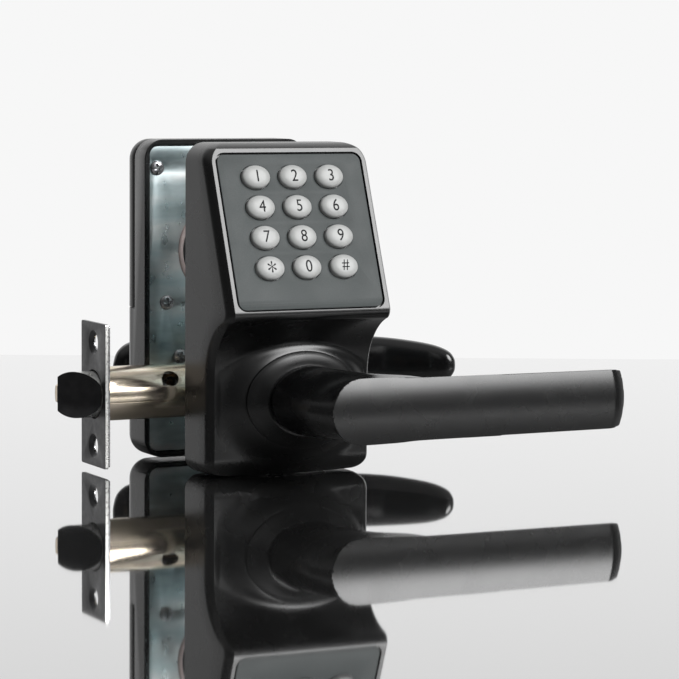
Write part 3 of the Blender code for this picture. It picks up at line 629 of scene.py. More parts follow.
def circle(radius, center=(0.0, 0.0), steps=48):
    return arc(center, radius, 0, 360 - 360 / steps, steps - 1)


def ellipse(a, b, center=(0.0, 0.0), steps=64):
    angles = np.arange(steps) * 2 * math.pi / steps
    return [(center[0] + a * math.cos(t), center[1] + b * math.sin(t)) for t in angles]


# How a flat outline made in the XY plane turns to face along each axis.
AXIS_TURN = {
    "X": (math.pi / 2, 0.0, math.pi / 2),
    "Y": (math.pi / 2, 0.0, 0.0),
    "Z": (0.0, 0.0, 0.0),
}


def plate(name, outlines, axis, start, end, edge=0.0):
    """A flat plate with holes: the first outline is its edge, the rest are holes."""
    curve = bpy.data.curves.new(name, "CURVE")
    curve.dimensions = "2D"
    curve.fill_mode = "BOTH"
    curve.extrude = (abs(end - start) / 2 - edge) * MM
    curve.bevel_depth = edge * MM
    curve.bevel_resolution = 2
    curve.offset = -edge * MM
    for outline in outlines:
        spline = curve.splines.new("POLY")
        spline.points.add(len(outline) - 1)
        spline.use_cyclic_u = True
        for point, (a, b) in zip(spline.points, outline):
            point.co = (a * MM, b * MM, 0.0, 1.0)
    middle = Vector((0.0, 0.0, 0.0))
    middle["XYZ".index(axis)] = (start + end) / 2 * MM
    turn = Matrix.Translation(middle) @ Euler(AXIS_TURN[axis]).to_matrix().to_4x4()
    obj = link(bpy.data.objects.new(name, curve))
    return baked(obj, turn)


def baked(obj, turn=None):
    """The object as its modifiers and curves leave it, as a plain mesh with the same name."""
    evaluated = obj.evaluated_get(bpy.context.evaluated_depsgraph_get())
    mesh = bpy.data.meshes.new_from_object(evaluated)
    if turn is not None:
        mesh.transform(turn)
    name = obj.name
    bpy.data.objects.remove(obj, do_unlink=True)
    mesh.name = name
    result = link(bpy.data.objects.new(name, mesh))
    face_out(result)
    return result


def boolean(obj, operation, *others):
    for other in others:
        step = obj.modifiers.new("Boolean", "BOOLEAN")
        step.operation = operation
        step.solver = "EXACT"
        step.object = other
    result = baked(obj)
    for other in others:
        bpy.data.objects.remove(other, do_unlink=True)
    return result


def cut(obj, *others):
    return boolean(obj, "DIFFERENCE", *others)


def join(obj, *others):
    return boolean(obj, "UNION", *others)


def keep(obj, *others):
    return boolean(obj, "INTERSECT", *others)


def soften(obj, width, segments=2, angle=40.0):
    """Rounds the edges that are sharper than an angle."""
    step = obj.modifiers.new("Bevel", "BEVEL")
    step.width = width * MM
    step.segments = segments
    step.limit_method = "ANGLE"
    step.angle_limit = math.radians(angle)
    step.use_clamp_overlap = True
    return baked(obj)


def cylinder(name, start, end, radius, end_radius=None, steps=64):
    """A round bar between two points, or a cone where its end has another radius."""
    start, end = Vector(start), Vector(end)
    axis = (end - start).normalized()
    side = axis.orthogonal().normalized()
    up = axis.cross(side)
    rings = []
    for center, size in ((start, radius), (end, radius if end_radius is None else end_radius)):
        ring = []
        for turn in (2 * math.pi * i / steps for i in range(steps)):
            ring.append(tuple(center + side * (size * math.cos(turn)) + up * (size * math.sin(turn))))
        rings.append(ring)
    return skin(name, rings)


def block(name, low, high):
    x0, y0, z0 = low
    x1, y1, z1 = high
    near = [(x0, y0, z0), (x1, y0, z0), (x1, y1, z0), (x0, y1, z0)]
    far = [(x, y, z1) for x, y, _ in near]
    return skin(name, [near, far])


def finish_piece(obj, material, body, nodes=(), angle=32.0):
    """Shades the piece, gives it its material, and hangs it on its body."""
    obj.data.materials.clear()
    obj.data.materials.append(material)
    obj.data.shade_smooth()
    obj.data.set_sharp_from_angle(angle=math.radians(angle))
    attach(obj, body)
    if nodes:
        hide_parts(*nodes)
    return obj


# ---------------------------------------------------------------- outside housing


def smooth_min(a, b, width):
    """The lesser of two values, blended where they are closer than a width."""
    h = np.clip(0.5 + 0.5 * (b - a) / width, 0.0, 1.0)
    return b * (1 - h) + a * h - width * h * (1 - h)


def slope_y(z):
    return SLOPE_LOW.y + (z - SLOPE_LOW.z) * SLOPE


def chin_round():
    """The centre of the arc that rounds the chin, and the points where it meets both sides."""
    depth = CHIN_ROUND / math.cos(SLOPE_ANGLE)
    chin_y = LOWER_FRONT - CHIN_ARC_RADIUS
    start = slope_y(0.0) + depth - chin_y
    reach = CHIN_ARC_RADIUS + CHIN_ROUND
    a = SLOPE**2 + 1
    b = SLOPE * start - CHIN_ARC_Z
    c = start**2 + CHIN_ARC_Z**2 - reach**2
    z = (-b + math.sqrt(b**2 - a * c)) / a
    y = slope_y(z) + depth
    high = z + CHIN_ROUND * math.sin(SLOPE_ANGLE)
    low = z + (CHIN_ARC_Z - z) * CHIN_ROUND / reach
    return y, z, low, high


def front_profile(z, inset):
    """The front's Y along the middle of the unit at a height."""
    line = slope_y(z) + inset / math.cos(SLOPE_ANGLE)
    radius = CHIN_ARC_RADIUS + inset
    rise = np.clip(z - CHIN_ARC_Z, 0.0, radius - 0.01)
    front = LOWER_FRONT - CHIN_ARC_RADIUS + np.sqrt(radius**2 - rise**2)
    front = np.where(z > CHIN_ARC_Z, front, LOWER_FRONT + inset)
    if inset == 0:
        y, middle, low, high = chin_round()
        bulge = y - np.sqrt(np.clip(CHIN_ROUND**2 - (z - middle) ** 2, 0.0, None))
        front = np.where(z > low, np.where(z > high, line, bulge), front)
    else:
        front = np.where(z > CHIN_ARC_Z + CHIN_ARC_RADIUS, line, np.maximum(front, line))
    fillet = max(FOOT_FILLET - inset, 1.0)
    foot = UNIT_BOTTOM + inset + fillet
    drop = np.clip(foot - z, 0.0, fillet)
    front = front + fillet - np.sqrt(fillet**2 - drop**2)
    if inset:
        return front
    near_top = np.clip(STRIP_WIDTH - (UNIT_TOP - z), 0.0, STRIP_WIDTH)
    return front + strip_depth(near_top)


def strip_depth(inward):
    """How far the strip has dropped back at a distance from the flat face's edge."""
    total = STRIP_RADIUS * (1 - math.cos(STRIP_TURN))
    left = np.clip(total - inward, 0.0, total)
    reach = np.sqrt(STRIP_RADIUS**2 - (STRIP_RADIUS - left) ** 2)
    return STRIP_DEPTH - reach


def half_width_at(z, inset):
    """Half the unit's width at a height, which shrinks round its corners."""
    high = UNIT_TOP - inset
    low = UNIT_BOTTOM + inset
    top_radius = TOP_CORNER - inset * 0.6
    low_radius = BOTTOM_CORNER - inset * 0.6
    up = np.clip(z - (high - top_radius), 0.0, top_radius)
    down = np.clip((low + low_radius) - z, 0.0, low_radius)
    shrink = top_radius - np.sqrt(top_radius**2 - up**2) + low_radius - np.sqrt(low_radius**2 - down**2)
    return UNIT_HALF_WIDTH - inset - shrink


def boss_front(x, z):
    """The boss's Y: a shallow oval cone round the spindle with a flat top."""
    base_x, base_a, base_b = BOSS_BASE_OVAL
    top_x, top_a, top_b = BOSS_TOP_OVAL
    outer = np.hypot((x - base_x) / base_a, z / base_b)
    inner = np.hypot((x - top_x) / top_a, z / top_b)
    share = (1 - outer) / np.maximum(inner - outer, 0.02)
    share = np.clip(np.where(inner < 0.9, 2.0, share), -3.0, 2.0)
    share = smooth_min(share, np.ones_like(share), BOSS_EDGE)
    return LOWER_FRONT - share * (LOWER_FRONT - BOSS_TOP)


def unit_heights(inset, fine):
    """The levels of the unit's slices, closer together where its outline curves."""
    low, high = UNIT_BOTTOM + inset, UNIT_TOP - inset
    ease = END_EASE * (1 - np.cos(np.linspace(0, math.pi / 2, 14)))
    strip = high - np.linspace(0.0, STRIP_WIDTH + 0.3, 9)
    step, chin_step, face_step = (0.4, 0.2, 2.0) if fine else (3.0, 1.5, 2.0)
    body = np.arange(low + END_EASE + step, CHIN_LOW, step)
    chin = np.arange(CHIN_LOW, CHIN_HIGH, chin_step)
    face = np.arange(CHIN_HIGH, high - END_EASE, face_step)
    heights = np.concatenate([low + ease, body, chin, face, high - ease, strip])
    heights = np.unique(np.round(heights, 3))
    least_step = 0.04
    heights = heights[np.concatenate([[True], np.diff(heights) > least_step])]
    heights[-1] = high
    return heights


def unit_ring(z, inset, back, fine):
    """One level slice of the outside unit, from its back left corner round the front."""
    half = float(half_width_at(z, inset))
    front = float(front_profile(np.array([z]), inset)[0])
    flat = half - STRIP_WIDTH
    side = [(half, y) for y in np.linspace(back, front + STRIP_DEPTH, 4)[:-1]]
    for angle in np.linspace(0.0, STRIP_TURN, 8):
        inward = STRIP_RADIUS * (1 - math.cos(angle))
        side.append((half - inward, front + STRIP_DEPTH - STRIP_RADIUS * math.sin(angle)))
    side.append((flat - EDGE_ROUND * 0.4, front - EDGE_CREST))
    xs = np.linspace(EDGE_ROUND - flat, flat - EDGE_ROUND, 160 if fine else 12)
    ys = np.full(len(xs), front)
    if inset == 0 and z < BOSS_REACH:
        edge = np.clip((flat - np.abs(xs)) / 2.0, 0.0, 1.0)
        blend = smooth_min(ys, boss_front(xs, np.full(len(xs), z)), BOSS_BLEND)
        ys = ys + (blend - ys) * edge
    ring = [(-x, y, z) for x, y in side]
    ring += [(x, y, z) for x, y in zip(xs, ys)]
    ring += [(x, y, z) for x, y in reversed(side)]
    return ring


def unit_solid(name, inset, back, fine):
    return skin(name, [unit_ring(z, inset, back, fine) for z in unit_heights(inset, fine)])


KEYPAD = Matrix.Translation((SLOPE_LOW + SLOPE_HIGH) / 2 * MM) @ Matrix.Rotation(
    math.pi / 2 - SLOPE_ANGLE, 4, "X"
)


def on_slope(obj, x=0.0, y=0.0):
    """Moves a piece made flat at the origin to its place on the keypad's slope."""
    obj.data.transform(KEYPAD @ Matrix.Translation((x * MM, y * MM, 0.0)))
    return obj


def slope_outline(inset, radius, steps=10):
    half = SLOPE_LENGTH / 2 - inset
    return rounded(PLATE_HALF_WIDTH + GAP - inset, -half, half, radius, radius, steps)


def flat_loft(name, levels):
    """A skin over flat outlines, each with its height."""
    return skin(name, [[(a, b, height) for a, b in outline] for outline, height in levels])


def slope_cutter(name, inset, radius, depth, height):
    """A cutter of the keypad's outline, from a depth under the slope's face to a height over it."""
    outline = slope_outline(inset, radius)
    return on_slope(flat_loft(name, [(outline, -depth), (outline, height)]))


def make_outside_housing():
    shell = unit_solid("outside_housing_shell", 0.0, UNIT_BACK, True)
    room = unit_solid("room", WALL, ROOM_BACK, False)
    pocket = slope_cutter("pocket", 0.0, PLATE_CORNER, POCKET_DEPTH, 6.0)
    window = slope_cutter("window", WINDOW_INSET, WINDOW_CORNER, WINDOW_DEPTH, 1.0)
    hole = cylinder("hole", (0, -30, 0), (0, -60, 0), BEARING_BORE)
    shell = cut(shell, room, pocket, window, hole)
    finish_piece(shell, BLACK, "lock_body", ("outside_housing",), 30.0)


# ---------------------------------------------------------------- keypad


def key_places():
    top = SLOPE_LENGTH / 2 - KEY_FIRST_ROW
    for i, name in enumerate(KEYS):
        row, column = divmod(i, 3)
        yield name, (column - 1) * KEY_COLUMN, top - row * KEY_ROW


def make_keypad_plate():
    outlines = [slope_outline(GROOVE, PLATE_CORNER - GROOVE)]
    for _, x, y in key_places():
        outlines.append(ellipse(KEY_A + GAP, KEY_B + GAP, (x, y)))
    panel = on_slope(rolled_end(plate("keypad_panel", outlines, "Z", PLATE_BACK, PLATE_FACE, PLATE_EDGE)))
    finish_piece(panel, GREY, "lock_body", ("keypad_plate",))


def rolled_end(panel):
    """Rolls the panel's lowest few millimetres a little way in."""
    start = -SLOPE_LENGTH / 2 + ROLL_LENGTH
    shape = bmesh.new()
    shape.from_mesh(panel.data)
    for step in range(ROLL_STEPS):
        place = (0.0, (start - step * ROLL_LENGTH / ROLL_STEPS) * MM, 0.0)
        geometry = shape.verts[:] + shape.edges[:] + shape.faces[:]
        bmesh.ops.bisect_plane(shape, geom=geometry, plane_co=place, plane_no=(0.0, 1.0, 0.0))
    for vert in shape.verts:
        into = max(start - vert.co.y / MM, 0.0) / ROLL_LENGTH
        if vert.co.z > -MM:
            vert.co.z -= ROLL_DROP * into**1.5 * MM
    shape.to_mesh(panel.data)
    shape.free()
    return panel


def key_height(share):
    """The height of a key's dome at a share of its radius."""
    return DOME_BASE + DOME_RISE * np.sqrt(np.clip(1 - share**3.2, 0.0, 1.0)) ** 0.9


def key_ring(share, height, extra=0.0):
    return [(a, b, height) for a, b in ellipse(KEY_A * share + extra, KEY_B * share + extra)]


def make_key(name, x, y):
    """A key's stem, flange, straight side and dome, from the back forwards."""
    stem_end, stem_share = KEY_STEM
    back, front, wide = KEY_FLANGE
    rings = [key_ring(stem_share, stem_end), key_ring(stem_share, back)]
    rings += [key_ring(1.0, back, wide), key_ring(1.0, front, wide)]
    rings += [key_ring(1.0, height) for height in (front, 0.0, KEY_SHOULDER)]
    for share in np.sin(np.radians(np.linspace(85, 4, 22))):
        rings.append(key_ring(share, float(key_height(share))))
    cap = on_slope(skin(f"keycap_{name}", rings), x, y)
    finish_piece(cap, WHITE, f"key_{name}", (f"key_{name}",))
    make_glyph(name, x, y)


def make_glyph(name, x, y):
    """The key's digit, printed on the dome."""
    text = bpy.data.curves.new(f"glyph_{name}", "FONT")
    text.body = GLYPHS.get(name, name)
    text.align_x = "CENTER"
    text.size = GLYPH_SIZES.get(name, GLYPH_SIZE) * MM
    text.resolution_u = 6
    obj = baked(link(bpy.data.objects.new(f"glyph_{name}", text)))
    shape = bmesh.new()
    shape.from_mesh(obj.data)
    points = np.array([v.co[:] for v in shape.verts])
    middle = (points.max(axis=0) + points.min(axis=0)) / 2
    for vert in shape.verts:
        vert.co = Vector(((vert.co.x - middle[0]) * GLYPH_NARROW, vert.co.y - middle[1], 0.0))
    for normal, reach in (((1.0, 0.0, 0.0), 3.0), ((0.0, 1.0, 0.0), 3.4)):
        for place in np.arange(-reach, reach + 0.1, 0.3):
            geometry = shape.verts[:] + shape.edges[:] + shape.faces[:]
            point = Vector(normal) * (place * MM)
            bmesh.ops.bisect_plane(shape, geom=geometry, plane_co=point, plane_no=normal)
    bmesh.ops.triangulate(shape, faces=shape.faces)
    for vert in shape.verts:
        share = math.hypot(vert.co.x / (KEY_A * MM), vert.co.y / (KEY_B * MM))
        vert.co.z = (float(key_height(share)) + GLYPH_PROUD) * MM
    shape.to_mesh(obj.data)
    shape.free()
    thick = obj.modifiers.new("Solidify", "SOLIDIFY")
    thick.thickness = GLYPH_THICK * MM
    thick.offset = -1.0
    glyph = on_slope(baked(obj), x, y)
    finish_piece(glyph, INK, f"key_{name}")


# ---------------------------------------------------------------- collars and levers


def oval(center_x, y, half_width, half_height, steps=96):
    """An upright ellipse at a depth."""
    return [(x, y, z) for x, z in ellipse(half_width, half_height, (center_x, 0.0), steps)]


def make_outside_collar():
    """An oval cone with a fine round edge, and the round bearing behind it."""
    base = BOSS_TOP - GAP
    low_x, low_a, low_b = COLLAR_BASE_OVAL
    high_x, high_a, high_b = COLLAR_TOP_OVAL
    bevel, rim, edge, waist = 0.12, 0.35, 0.6, 0.5
    rings = [oval(low_x, base, low_a - bevel, low_b - bevel), oval(low_x, base - bevel, low_a, low_b)]
    for out, along in arc((0.0, 0.0), edge, 0, 50, 6):
        rings.append(oval(low_x, base - rim - along, low_a + out - edge, low_b + out - edge))
    for share in (0.25, 0.5, 0.75, 0.97):
        hollow = waist * math.sin(math.pi * share)
        a = low_a + (high_a - low_a) * share - hollow
        b = low_b + (high_b - low_b) * share - hollow
        y = base - 0.7 - (COLLAR_HEIGHT - 0.8) * share
        rings.append(oval(low_x + (high_x - low_x) * share, y, a, b))
    rings.append(oval(high_x, base - COLLAR_HEIGHT, high_a - 0.2, high_b - 0.2))
    cone = skin("outside_collar_ring", rings)
    bearing = cylinder("bearing", (0, base - 1.0, 0), (0, BEARING_END, 0), BEARING_RADIUS)
    bore = cylinder("bore", (0, -30, 0), (0, -70, 0), SHANK + GAP)
    collar = cut(join(cone, bearing), bore)
    finish_piece(collar, BLACK, "lock_body", ("outside_collar",), 28.0)


def make_inside_collar():
    """A round cone with a fine round edge and the bearing behind it."""
    base = INSIDE_BACK + GAP
    neck = INSIDE_NECK
    rim = arc((INSIDE_COLLAR_RADIUS - 0.7, 0.75), 0.7, 40, 0, 5)
    profile = [(neck + GAP, 6.05), (neck + 0.5, 6.3), (neck + 1.0, 6.15)]
    profile += [(neck + 3.5, 4.55), (INSIDE_COLLAR_RADIUS - 1.6, 2.0)] + rim
    profile += [(INSIDE_COLLAR_RADIUS, 0.1), (INSIDE_COLLAR_RADIUS - 0.1, 0.0)]
    profile += [(BEARING_RADIUS, 0.0), (BEARING_RADIUS, -5.0)]
    profile += [(SHANK + GAP, -5.0), (SHANK + GAP, -1.5), (neck + GAP, -1.5)]
    ring = spin("inside_collar_ring", [(r, base + d) for r, d in profile])
    finish_piece(ring, BLACK, "lock_body", ("inside_collar",), 28.0)


def lever_half_height(x):
    """Half the height of the lever's face: a slight taper, and a swell over the neck."""
    rise, place, spread = LEVER_SWELL
    swell = rise * math.exp(-(((x - place) / spread) ** 2))
    return LEVER_HALF_HEIGHT - LEVER_TAPER * max(x - 20.0, 0.0) + swell


def bar_section(x, half, depth=LEVER_DEPTH):
    """A round bar's section. The half in front of the face is cut away later."""
    angles = np.arange(64) * 2 * math.pi / 64
    return [(x, LEVER_FACE - depth * math.cos(a), half * math.sin(a)) for a in angles]


def round_end_section(turn):
    """A section of the bar's round left end."""
    size = math.cos(turn)
    x = ROUND_END_X - ROUND_END_REACH * math.sin(turn)
    return bar_section(x, lever_half_height(ROUND_END_X) * size, LEVER_DEPTH * size)


def lever_face_y(x, z):
    """The crowned face, which rolls back over its last few millimetres."""
    crown = LEVER_CROWN * (z / 12.3) ** 2
    over = max(x - (LEVER_END - LEVER_ROLL), 0.0)
    roll = ROLL_SLOPE * over + over**2 / (2 * ROLL_BEND)
    return LEVER_FACE + crown + roll


def end_shift(x, z):
    """How far the lever's bowed end stands back, above and below its middle."""
    bulge = END_BULGE * (z / 12.0) ** 2
    return bulge * max((x - END_BULGE_FROM) / (LEVER_END - END_BULGE_FROM), 0.0)


def face_slab():
    """A block behind the lever's crowned face, as a loft along Z."""
    roll_start = LEVER_END - LEVER_ROLL
    xs = list(np.linspace(-30.0, roll_start - 0.4, 60)) + list(np.linspace(roll_start, LEVER_END, 14))
    rings = []
    for z in np.linspace(-16.0, 16.0, 65):
        shift = [x - end_shift(x, z) for x in xs]
        ring = [(s, lever_face_y(x, z), z) for s, x in zip(shift, xs)]
        ring += [(shift[-1], NECK_BASE, z), (shift[0], NECK_BASE, z)]
        rings.append(ring)
    return skin("face_slab", rings)


def make_outside_lever():
    """A flat-faced bar on an oval neck, blended where they meet."""
    rows = between(NECK_ROWS, 6)
    neck = [oval((left + right) / 2, y, (right - left) / 2, half) for y, left, right, half in rows]
    bar = [round_end_section(turn) for turn in np.radians(np.linspace(88, 0, 20))]
    bar += [bar_section(x, lever_half_height(x)) for x in np.linspace(6.0, LEVER_END + 2.0, 60)]
    lever = blended(join(skin("outside_handle", neck), skin("bar", bar)), 0.8, 10)
    lever = settled(blended(keep(lever, face_slab()), 0.5, 4))
    low, high = -36.0, NECK_BASE - 2.0
    shank = spin("shank", [(0.0, low), (SHANK, low), (SHANK, high), (0.0, high)], steps=64)
    socket = cylinder("socket", (0, -30, 0), (0, -42, 0), 6.5)
    lever = cut(join(lever, shank), socket)
    finish_piece(lever, BLACK, "outside_lever", ("outside_lever",), 28.0)


def settled(obj):
    """Puts the points that lie close to the lever's face exactly on it."""
    for vert in obj.data.vertices:
        x, y, z = vert.co / MM
        face = lever_face_y(min(x + end_shift(x, z), LEVER_END), z)
        if abs(y - face) < 0.3:
            vert.co.y = face * MM
    return obj


def blended(obj, voxel, rounds):
    """The solid remade from fine voxels and smoothed, so that its joins flow."""
    remesh = obj.modifiers.new("Remesh", "REMESH")
    remesh.mode = "VOXEL"
    remesh.voxel_size = voxel * MM
    smooth = obj.modifiers.new("Smooth", "SMOOTH")
    smooth.factor = 0.5
    smooth.iterations = rounds
    return baked(obj)


def rounded_section(x, y, heading, half_height, half_thick, squareness=2.5, steps=72):
    turn = math.radians(heading)
    ring = []
    for i in range(steps):
        angle = 2 * math.pi * (i + 0.5) / steps
        across = abs(math.cos(angle)) ** (2 / squareness) * math.copysign(half_thick, math.cos(angle))
        up = abs(math.sin(angle)) ** (2 / squareness) * math.copysign(half_height, math.sin(angle))
        ring.append((x - across * math.sin(turn), y + across * math.cos(turn), up))
    return ring


def between(stations, per_span):
    """Smooth stations through the given ones, by Catmull-Rom."""
    rows = np.array(stations, dtype=float)
    padded = np.vstack([2 * rows[0] - rows[1], rows, 2 * rows[-1] - rows[-2]])
    result = []
    for i in range(len(rows) - 1):
        a, b, c, d = padded[i : i + 4]
        square = 2 * a - 5 * b + 4 * c - d
        cube = 3 * b - a - 3 * c + d
        for t in np.arange(per_span) / per_span:
            result.append(0.5 * (2 * b + (c - a) * t + square * t**2 + cube * t**3))
    result.append(rows[-1])
    return result


def make_inside_lever():
    handle = skin("inside_handle", [rounded_section(*row) for row in between(INSIDE_STATIONS, 7)])
    base = INSIDE_BACK + GAP - 1.2
    profile = [(0.0, 30.0), (SHANK, 30.0), (SHANK, base), (INSIDE_NECK, base), (INSIDE_NECK, 66.0)]
    profile += [(12.3, 69.0), (11.9, 72.0), (11.4, 76.0), (0.0, 76.0)]
    lever = join(handle, spin("inside_neck", profile, steps=72))
    socket = block("socket", (-SPINDLE_HOLE, 20, -SPINDLE_HOLE), (SPINDLE_HOLE, 60, SPINDLE_HOLE))
    lever = cut(lever, socket)
    finish_piece(lever, GLOSS, "inside_lever", ("inside_lever",), 34.0)


# ---------------------------------------------------------------- latch


def faceplate_outline(inset):
    half_width, half_height = FACEPLATE_HALF
    half = half_height - inset
    return rounded(half_width - inset, -half, half, 0.9, 0.9, 5)


def make_faceplate():
    outer = LATCH_FACE
    inner = outer + FACEPLATE_THICK
    bolt_hole = circle(BOLT_RADIUS + 0.6, steps=96)
    holes = [bolt_hole] + [circle(3.1, (0, z)) for z in FACE_SCREW_Z]
    front = plate("faceplate", [faceplate_outline(0.0), *holes], "X", outer, inner, 0.12)
    sinks = [
        cylinder(f"sink_{i}", (outer - 0.2, 0, z), (outer + 1.25, 0, z), 5.1, 3.1)
        for i, z in enumerate(FACE_SCREW_Z)
    ]
    front = soften(cut(front, *sinks), 0.1, 2, 30.0)
    finish_piece(front, FACE_METAL, "lock_body", ("latch_faceplate",), 12.0)
    paint_edge_highlight(front)
    back = inner + GAP
    holes = [bolt_hole] + [circle(3.3, (0, z)) for z in FACE_SCREW_Z]
    end = back + BACK_PLATE_THICK
    rear = plate("faceplate_back", [faceplate_outline(0.6), *holes], "X", back, end, 0.12)
    finish_piece(rear, STEEL, "lock_body", ("latch_back_plate",), 12.0)


def paint_edge_highlight(obj):
    """Paints the plate's long side edges near-white: a painted highlight along them, where the front is
    dark.
    """
    obj.data.materials.append(PAINTED_HIGHLIGHT)
    for face in obj.data.polygons:
        if abs(face.normal.x) < 0.6 and abs(face.center.y) > 12.0 * MM:
            face.material_index = 1


def make_tube():
    start = LATCH_FACE + FACEPLATE_THICK + GAP + BACK_PLATE_THICK + GAP
    bevel = 0.15
    inner = TUBE_RADIUS - TUBE_WALL
    profile = [
        (TUBE_RADIUS - bevel, start),
        (TUBE_RADIUS, start + bevel),
        (TUBE_RADIUS, TUBE_END - bevel),
        (TUBE_RADIUS - bevel, TUBE_END),
        (inner, TUBE_END),
        (inner, start),
    ]
    tube = spin("latch_tube_skin", profile, "X", steps=128)
    seam = block("seam", (start - 1, -13.0, -2.75), (-10, -9.9, -2.55))
    slot = cylinder("slot", (-36.5, 0, 0), (-36.5, -16.0, 11.0), 3.4, steps=40)
    tab = block("slot_side", (-40.4, -16.0, 3.4), (-36.5, -5.0, 6.6))
    dimple = cylinder("dimple", (-23.5, -8.2, 8.2), (-23.5, -16.0, 16.0), 2.2, steps=32)
    tube = soften(cut(tube, seam, slot, tab, dimple), 0.12, 2, 50.0)
    finish_piece(tube, CHAMPAGNE, "lock_body", ("latch_tube",))


def make_bolt():
    tip = LATCH_FACE - BOLT_THROW
    inner_end = LATCH_FACE + BOLT_INSIDE
    bolt = cylinder("bolt_head", (tip, 0, 0), (inner_end, 0, 0), BOLT_RADIUS, steps=128)
    near, far = BOLT_SLOPE_Y
    slope = []
    for t in np.linspace(0.0, 1.0, 13):
        bow = BOLT_SLOPE_BOW * math.sin(math.pi * t)
        x = LATCH_FACE + (tip - LATCH_FACE) * t
        y = near + (far - near) * t
        slope.append((x - bow * 0.76, y - bow * 0.65))
    slope += [(tip - 8.0, far), (tip - 8.0, near - 10.0), (LATCH_FACE, near - 10.0)]
    wedge = skin("wedge", [[(x, y, z) for x, y in slope] for z in (-20.0, 20.0)])
    flat = block("flat", (tip - 10, far + 0.1, -20), (inner_end + 10, 20, 20))
    bolt = soften(cut(bolt, wedge, flat), 0.45, 3, 30.0)
    # Painted shade and painted highlight: the bevel and ends are dark metal, and the round side is
    # near-white metal.
    finish_piece(bolt, PAINTED_SHADE_NICKEL, "latch_bolt", ("latch_bolt",))
    for face in bolt.data.polygons:
        painted_highlight_face = abs(math.hypot(face.center.y, face.center.z) - BOLT_RADIUS * MM) < 0.12 * MM
        if painted_highlight_face:
            face.material_index = 1
    bolt.data.materials.append(PAINTED_HIGHLIGHT)


def make_latch_spring():
    """The coil behind the bolt."""
    points_per_turn = 24
    count = SPRING_TURNS * points_per_turn + 1
    curve = bpy.data.curves.new("latch_spring_coil", "CURVE")
    curve.dimensions = "3D"
    curve.bevel_depth = SPRING_WIRE * MM
    curve.bevel_resolution = 3
    curve.use_fill_caps = True
    spline = curve.splines.new("POLY")
    spline.points.add(count - 1)
    for i, x in enumerate(np.linspace(SPRING_START, SPRING_END, count)):
        angle = 2 * math.pi * i / points_per_turn
        y, z = SPRING_RADIUS * math.cos(angle), SPRING_RADIUS * math.sin(angle)
        spline.points[i].co = (x * MM, y * MM, z * MM, 1.0)
    coil = baked(link(bpy.data.objects.new("latch_spring_coil", curve)))
    finish_piece(coil, STEEL, "lock_body", ("latch_spring",))
    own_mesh(coil)


# ---------------------------------------------------------------- inside unit


def inside_ring(y, inset, radius, steps=12):
    low, high = INSIDE_BOTTOM + inset, INSIDE_TOP - inset
    outline = rounded(INSIDE_HALF_WIDTH - inset, low, high, radius, radius, steps)
    return [(x, y, z) for x, z in outline]


def inside_shell(name):
    start = INSIDE_BACK - INSIDE_ROUND
    outer = [(INSIDE_FRONT, 0.25), (INSIDE_FRONT + 0.25, 0.0)]
    outer += [(y, inset) for inset, y in arc((INSIDE_ROUND, start), INSIDE_ROUND, 180, 90, 18)]
    inner = [(INSIDE_FRONT - 5.0, INSIDE_WALL)]
    inner += [(y, inset) for inset, y in arc((INSIDE_ROUND, start), INSIDE_ROUND - INSIDE_WALL, 180, 90, 10)]
    shell = skin(name, [inside_ring(y, inset, 8.0 - inset * 0.5) for y, inset in outer])
    return cut(shell, skin("inside_room", [inside_ring(y, inset, 3.9) for y, inset in inner]))


def make_inside_case():
    case = inside_shell("inside_case")
    room = block("cover_room", (-60, COVER_Y - GAP / 2, COVER_Z - GAP / 2), (60, 80, 140))
    hole = cylinder("hole", (0, 30, 0), (0, 60, 0), BEARING_BORE)
    case = soften(cut(case, room, hole), 0.3, 2, 50.0)
    finish_piece(case, BLACK, "lock_body", ("inside_housing",), 34.0)
    cover = inside_shell("battery_cover_skin")
    region = block("cover_region", (-60, COVER_Y + GAP / 2, COVER_Z + GAP / 2), (60, 80, 140))
    cover = soften(keep(cover, region), 0.3, 2, 50.0)
    finish_piece(cover, BLACK, "battery_cover", ("battery_cover",), 34.0)


def make_zinc_plate():
    holes = [circle(9.0), circle(CABLE_HOLE_RADIUS, (0, CABLE_HOLE_Z), 96)]
    holes += [circle(1.8, place, 24) for place in PLATE_SCREWS]
    holes += [circle(2.8, (0, z), 32) for z in THROUGH_BOLT_Z]
    outline = rounded(33.4, -27.1, 97.4, 3.8, 3.8)
    panel = plate("zinc_plate", [outline, *holes], "Y", PLATE_FRONT, PLATE_FRONT + PLATE_THICK, 0.2)
    finish_piece(panel, ZINC, "lock_body", ("inside_mount_plate",))


def make_screws():
    """Pan heads with a tapered cross recess."""
    seat = PLATE_FRONT - 0.1
    under = SCREW_RADIUS - 0.05
    for i, (x, z) in enumerate(PLATE_SCREWS):
        dome = [(0.0, seat - 1.25), (1.0, seat - 1.23), (1.9, seat - 1.12), (2.6, seat - 0.85)]
        dome += [(under, seat - 0.45), (SCREW_RADIUS, seat - 0.15), (under, seat)]
        profile = dome + [(1.4, seat), (1.4, seat + 7.0), (0.0, seat + 7.0)]
        screw = spin(f"screw_{i + 1}", profile, center=(x, z), steps=48)
        turn = math.radians(20.0 + 37.0 * i)
        for j in range(2):
            cutter = cross_wing(f"wing_{j}", turn + j * math.pi / 2, x, seat, z)
            screw = cut(screw, cutter)
        screw = soften(screw, 0.05, 1, 45.0)
        finish_piece(screw, STEEL, "lock_body", (f"plate_screw_{i + 1}",))


def cross_wing(name, turn, x, seat, z):
    rings = []
    for depth, long, wide in ((-1.6, 2.2, 0.62), (-0.1, 1.2, 0.36)):
        ring = []
        for a, b in ((long, wide), (-long, wide), (-long, -wide), (long, -wide)):
            right = a * math.cos(turn) - b * math.sin(turn)
            up = a * math.sin(turn) + b * math.cos(turn)
            ring.append((x + right, seat + depth, z + up))
        rings.append(ring)
    return skin(name, rings)


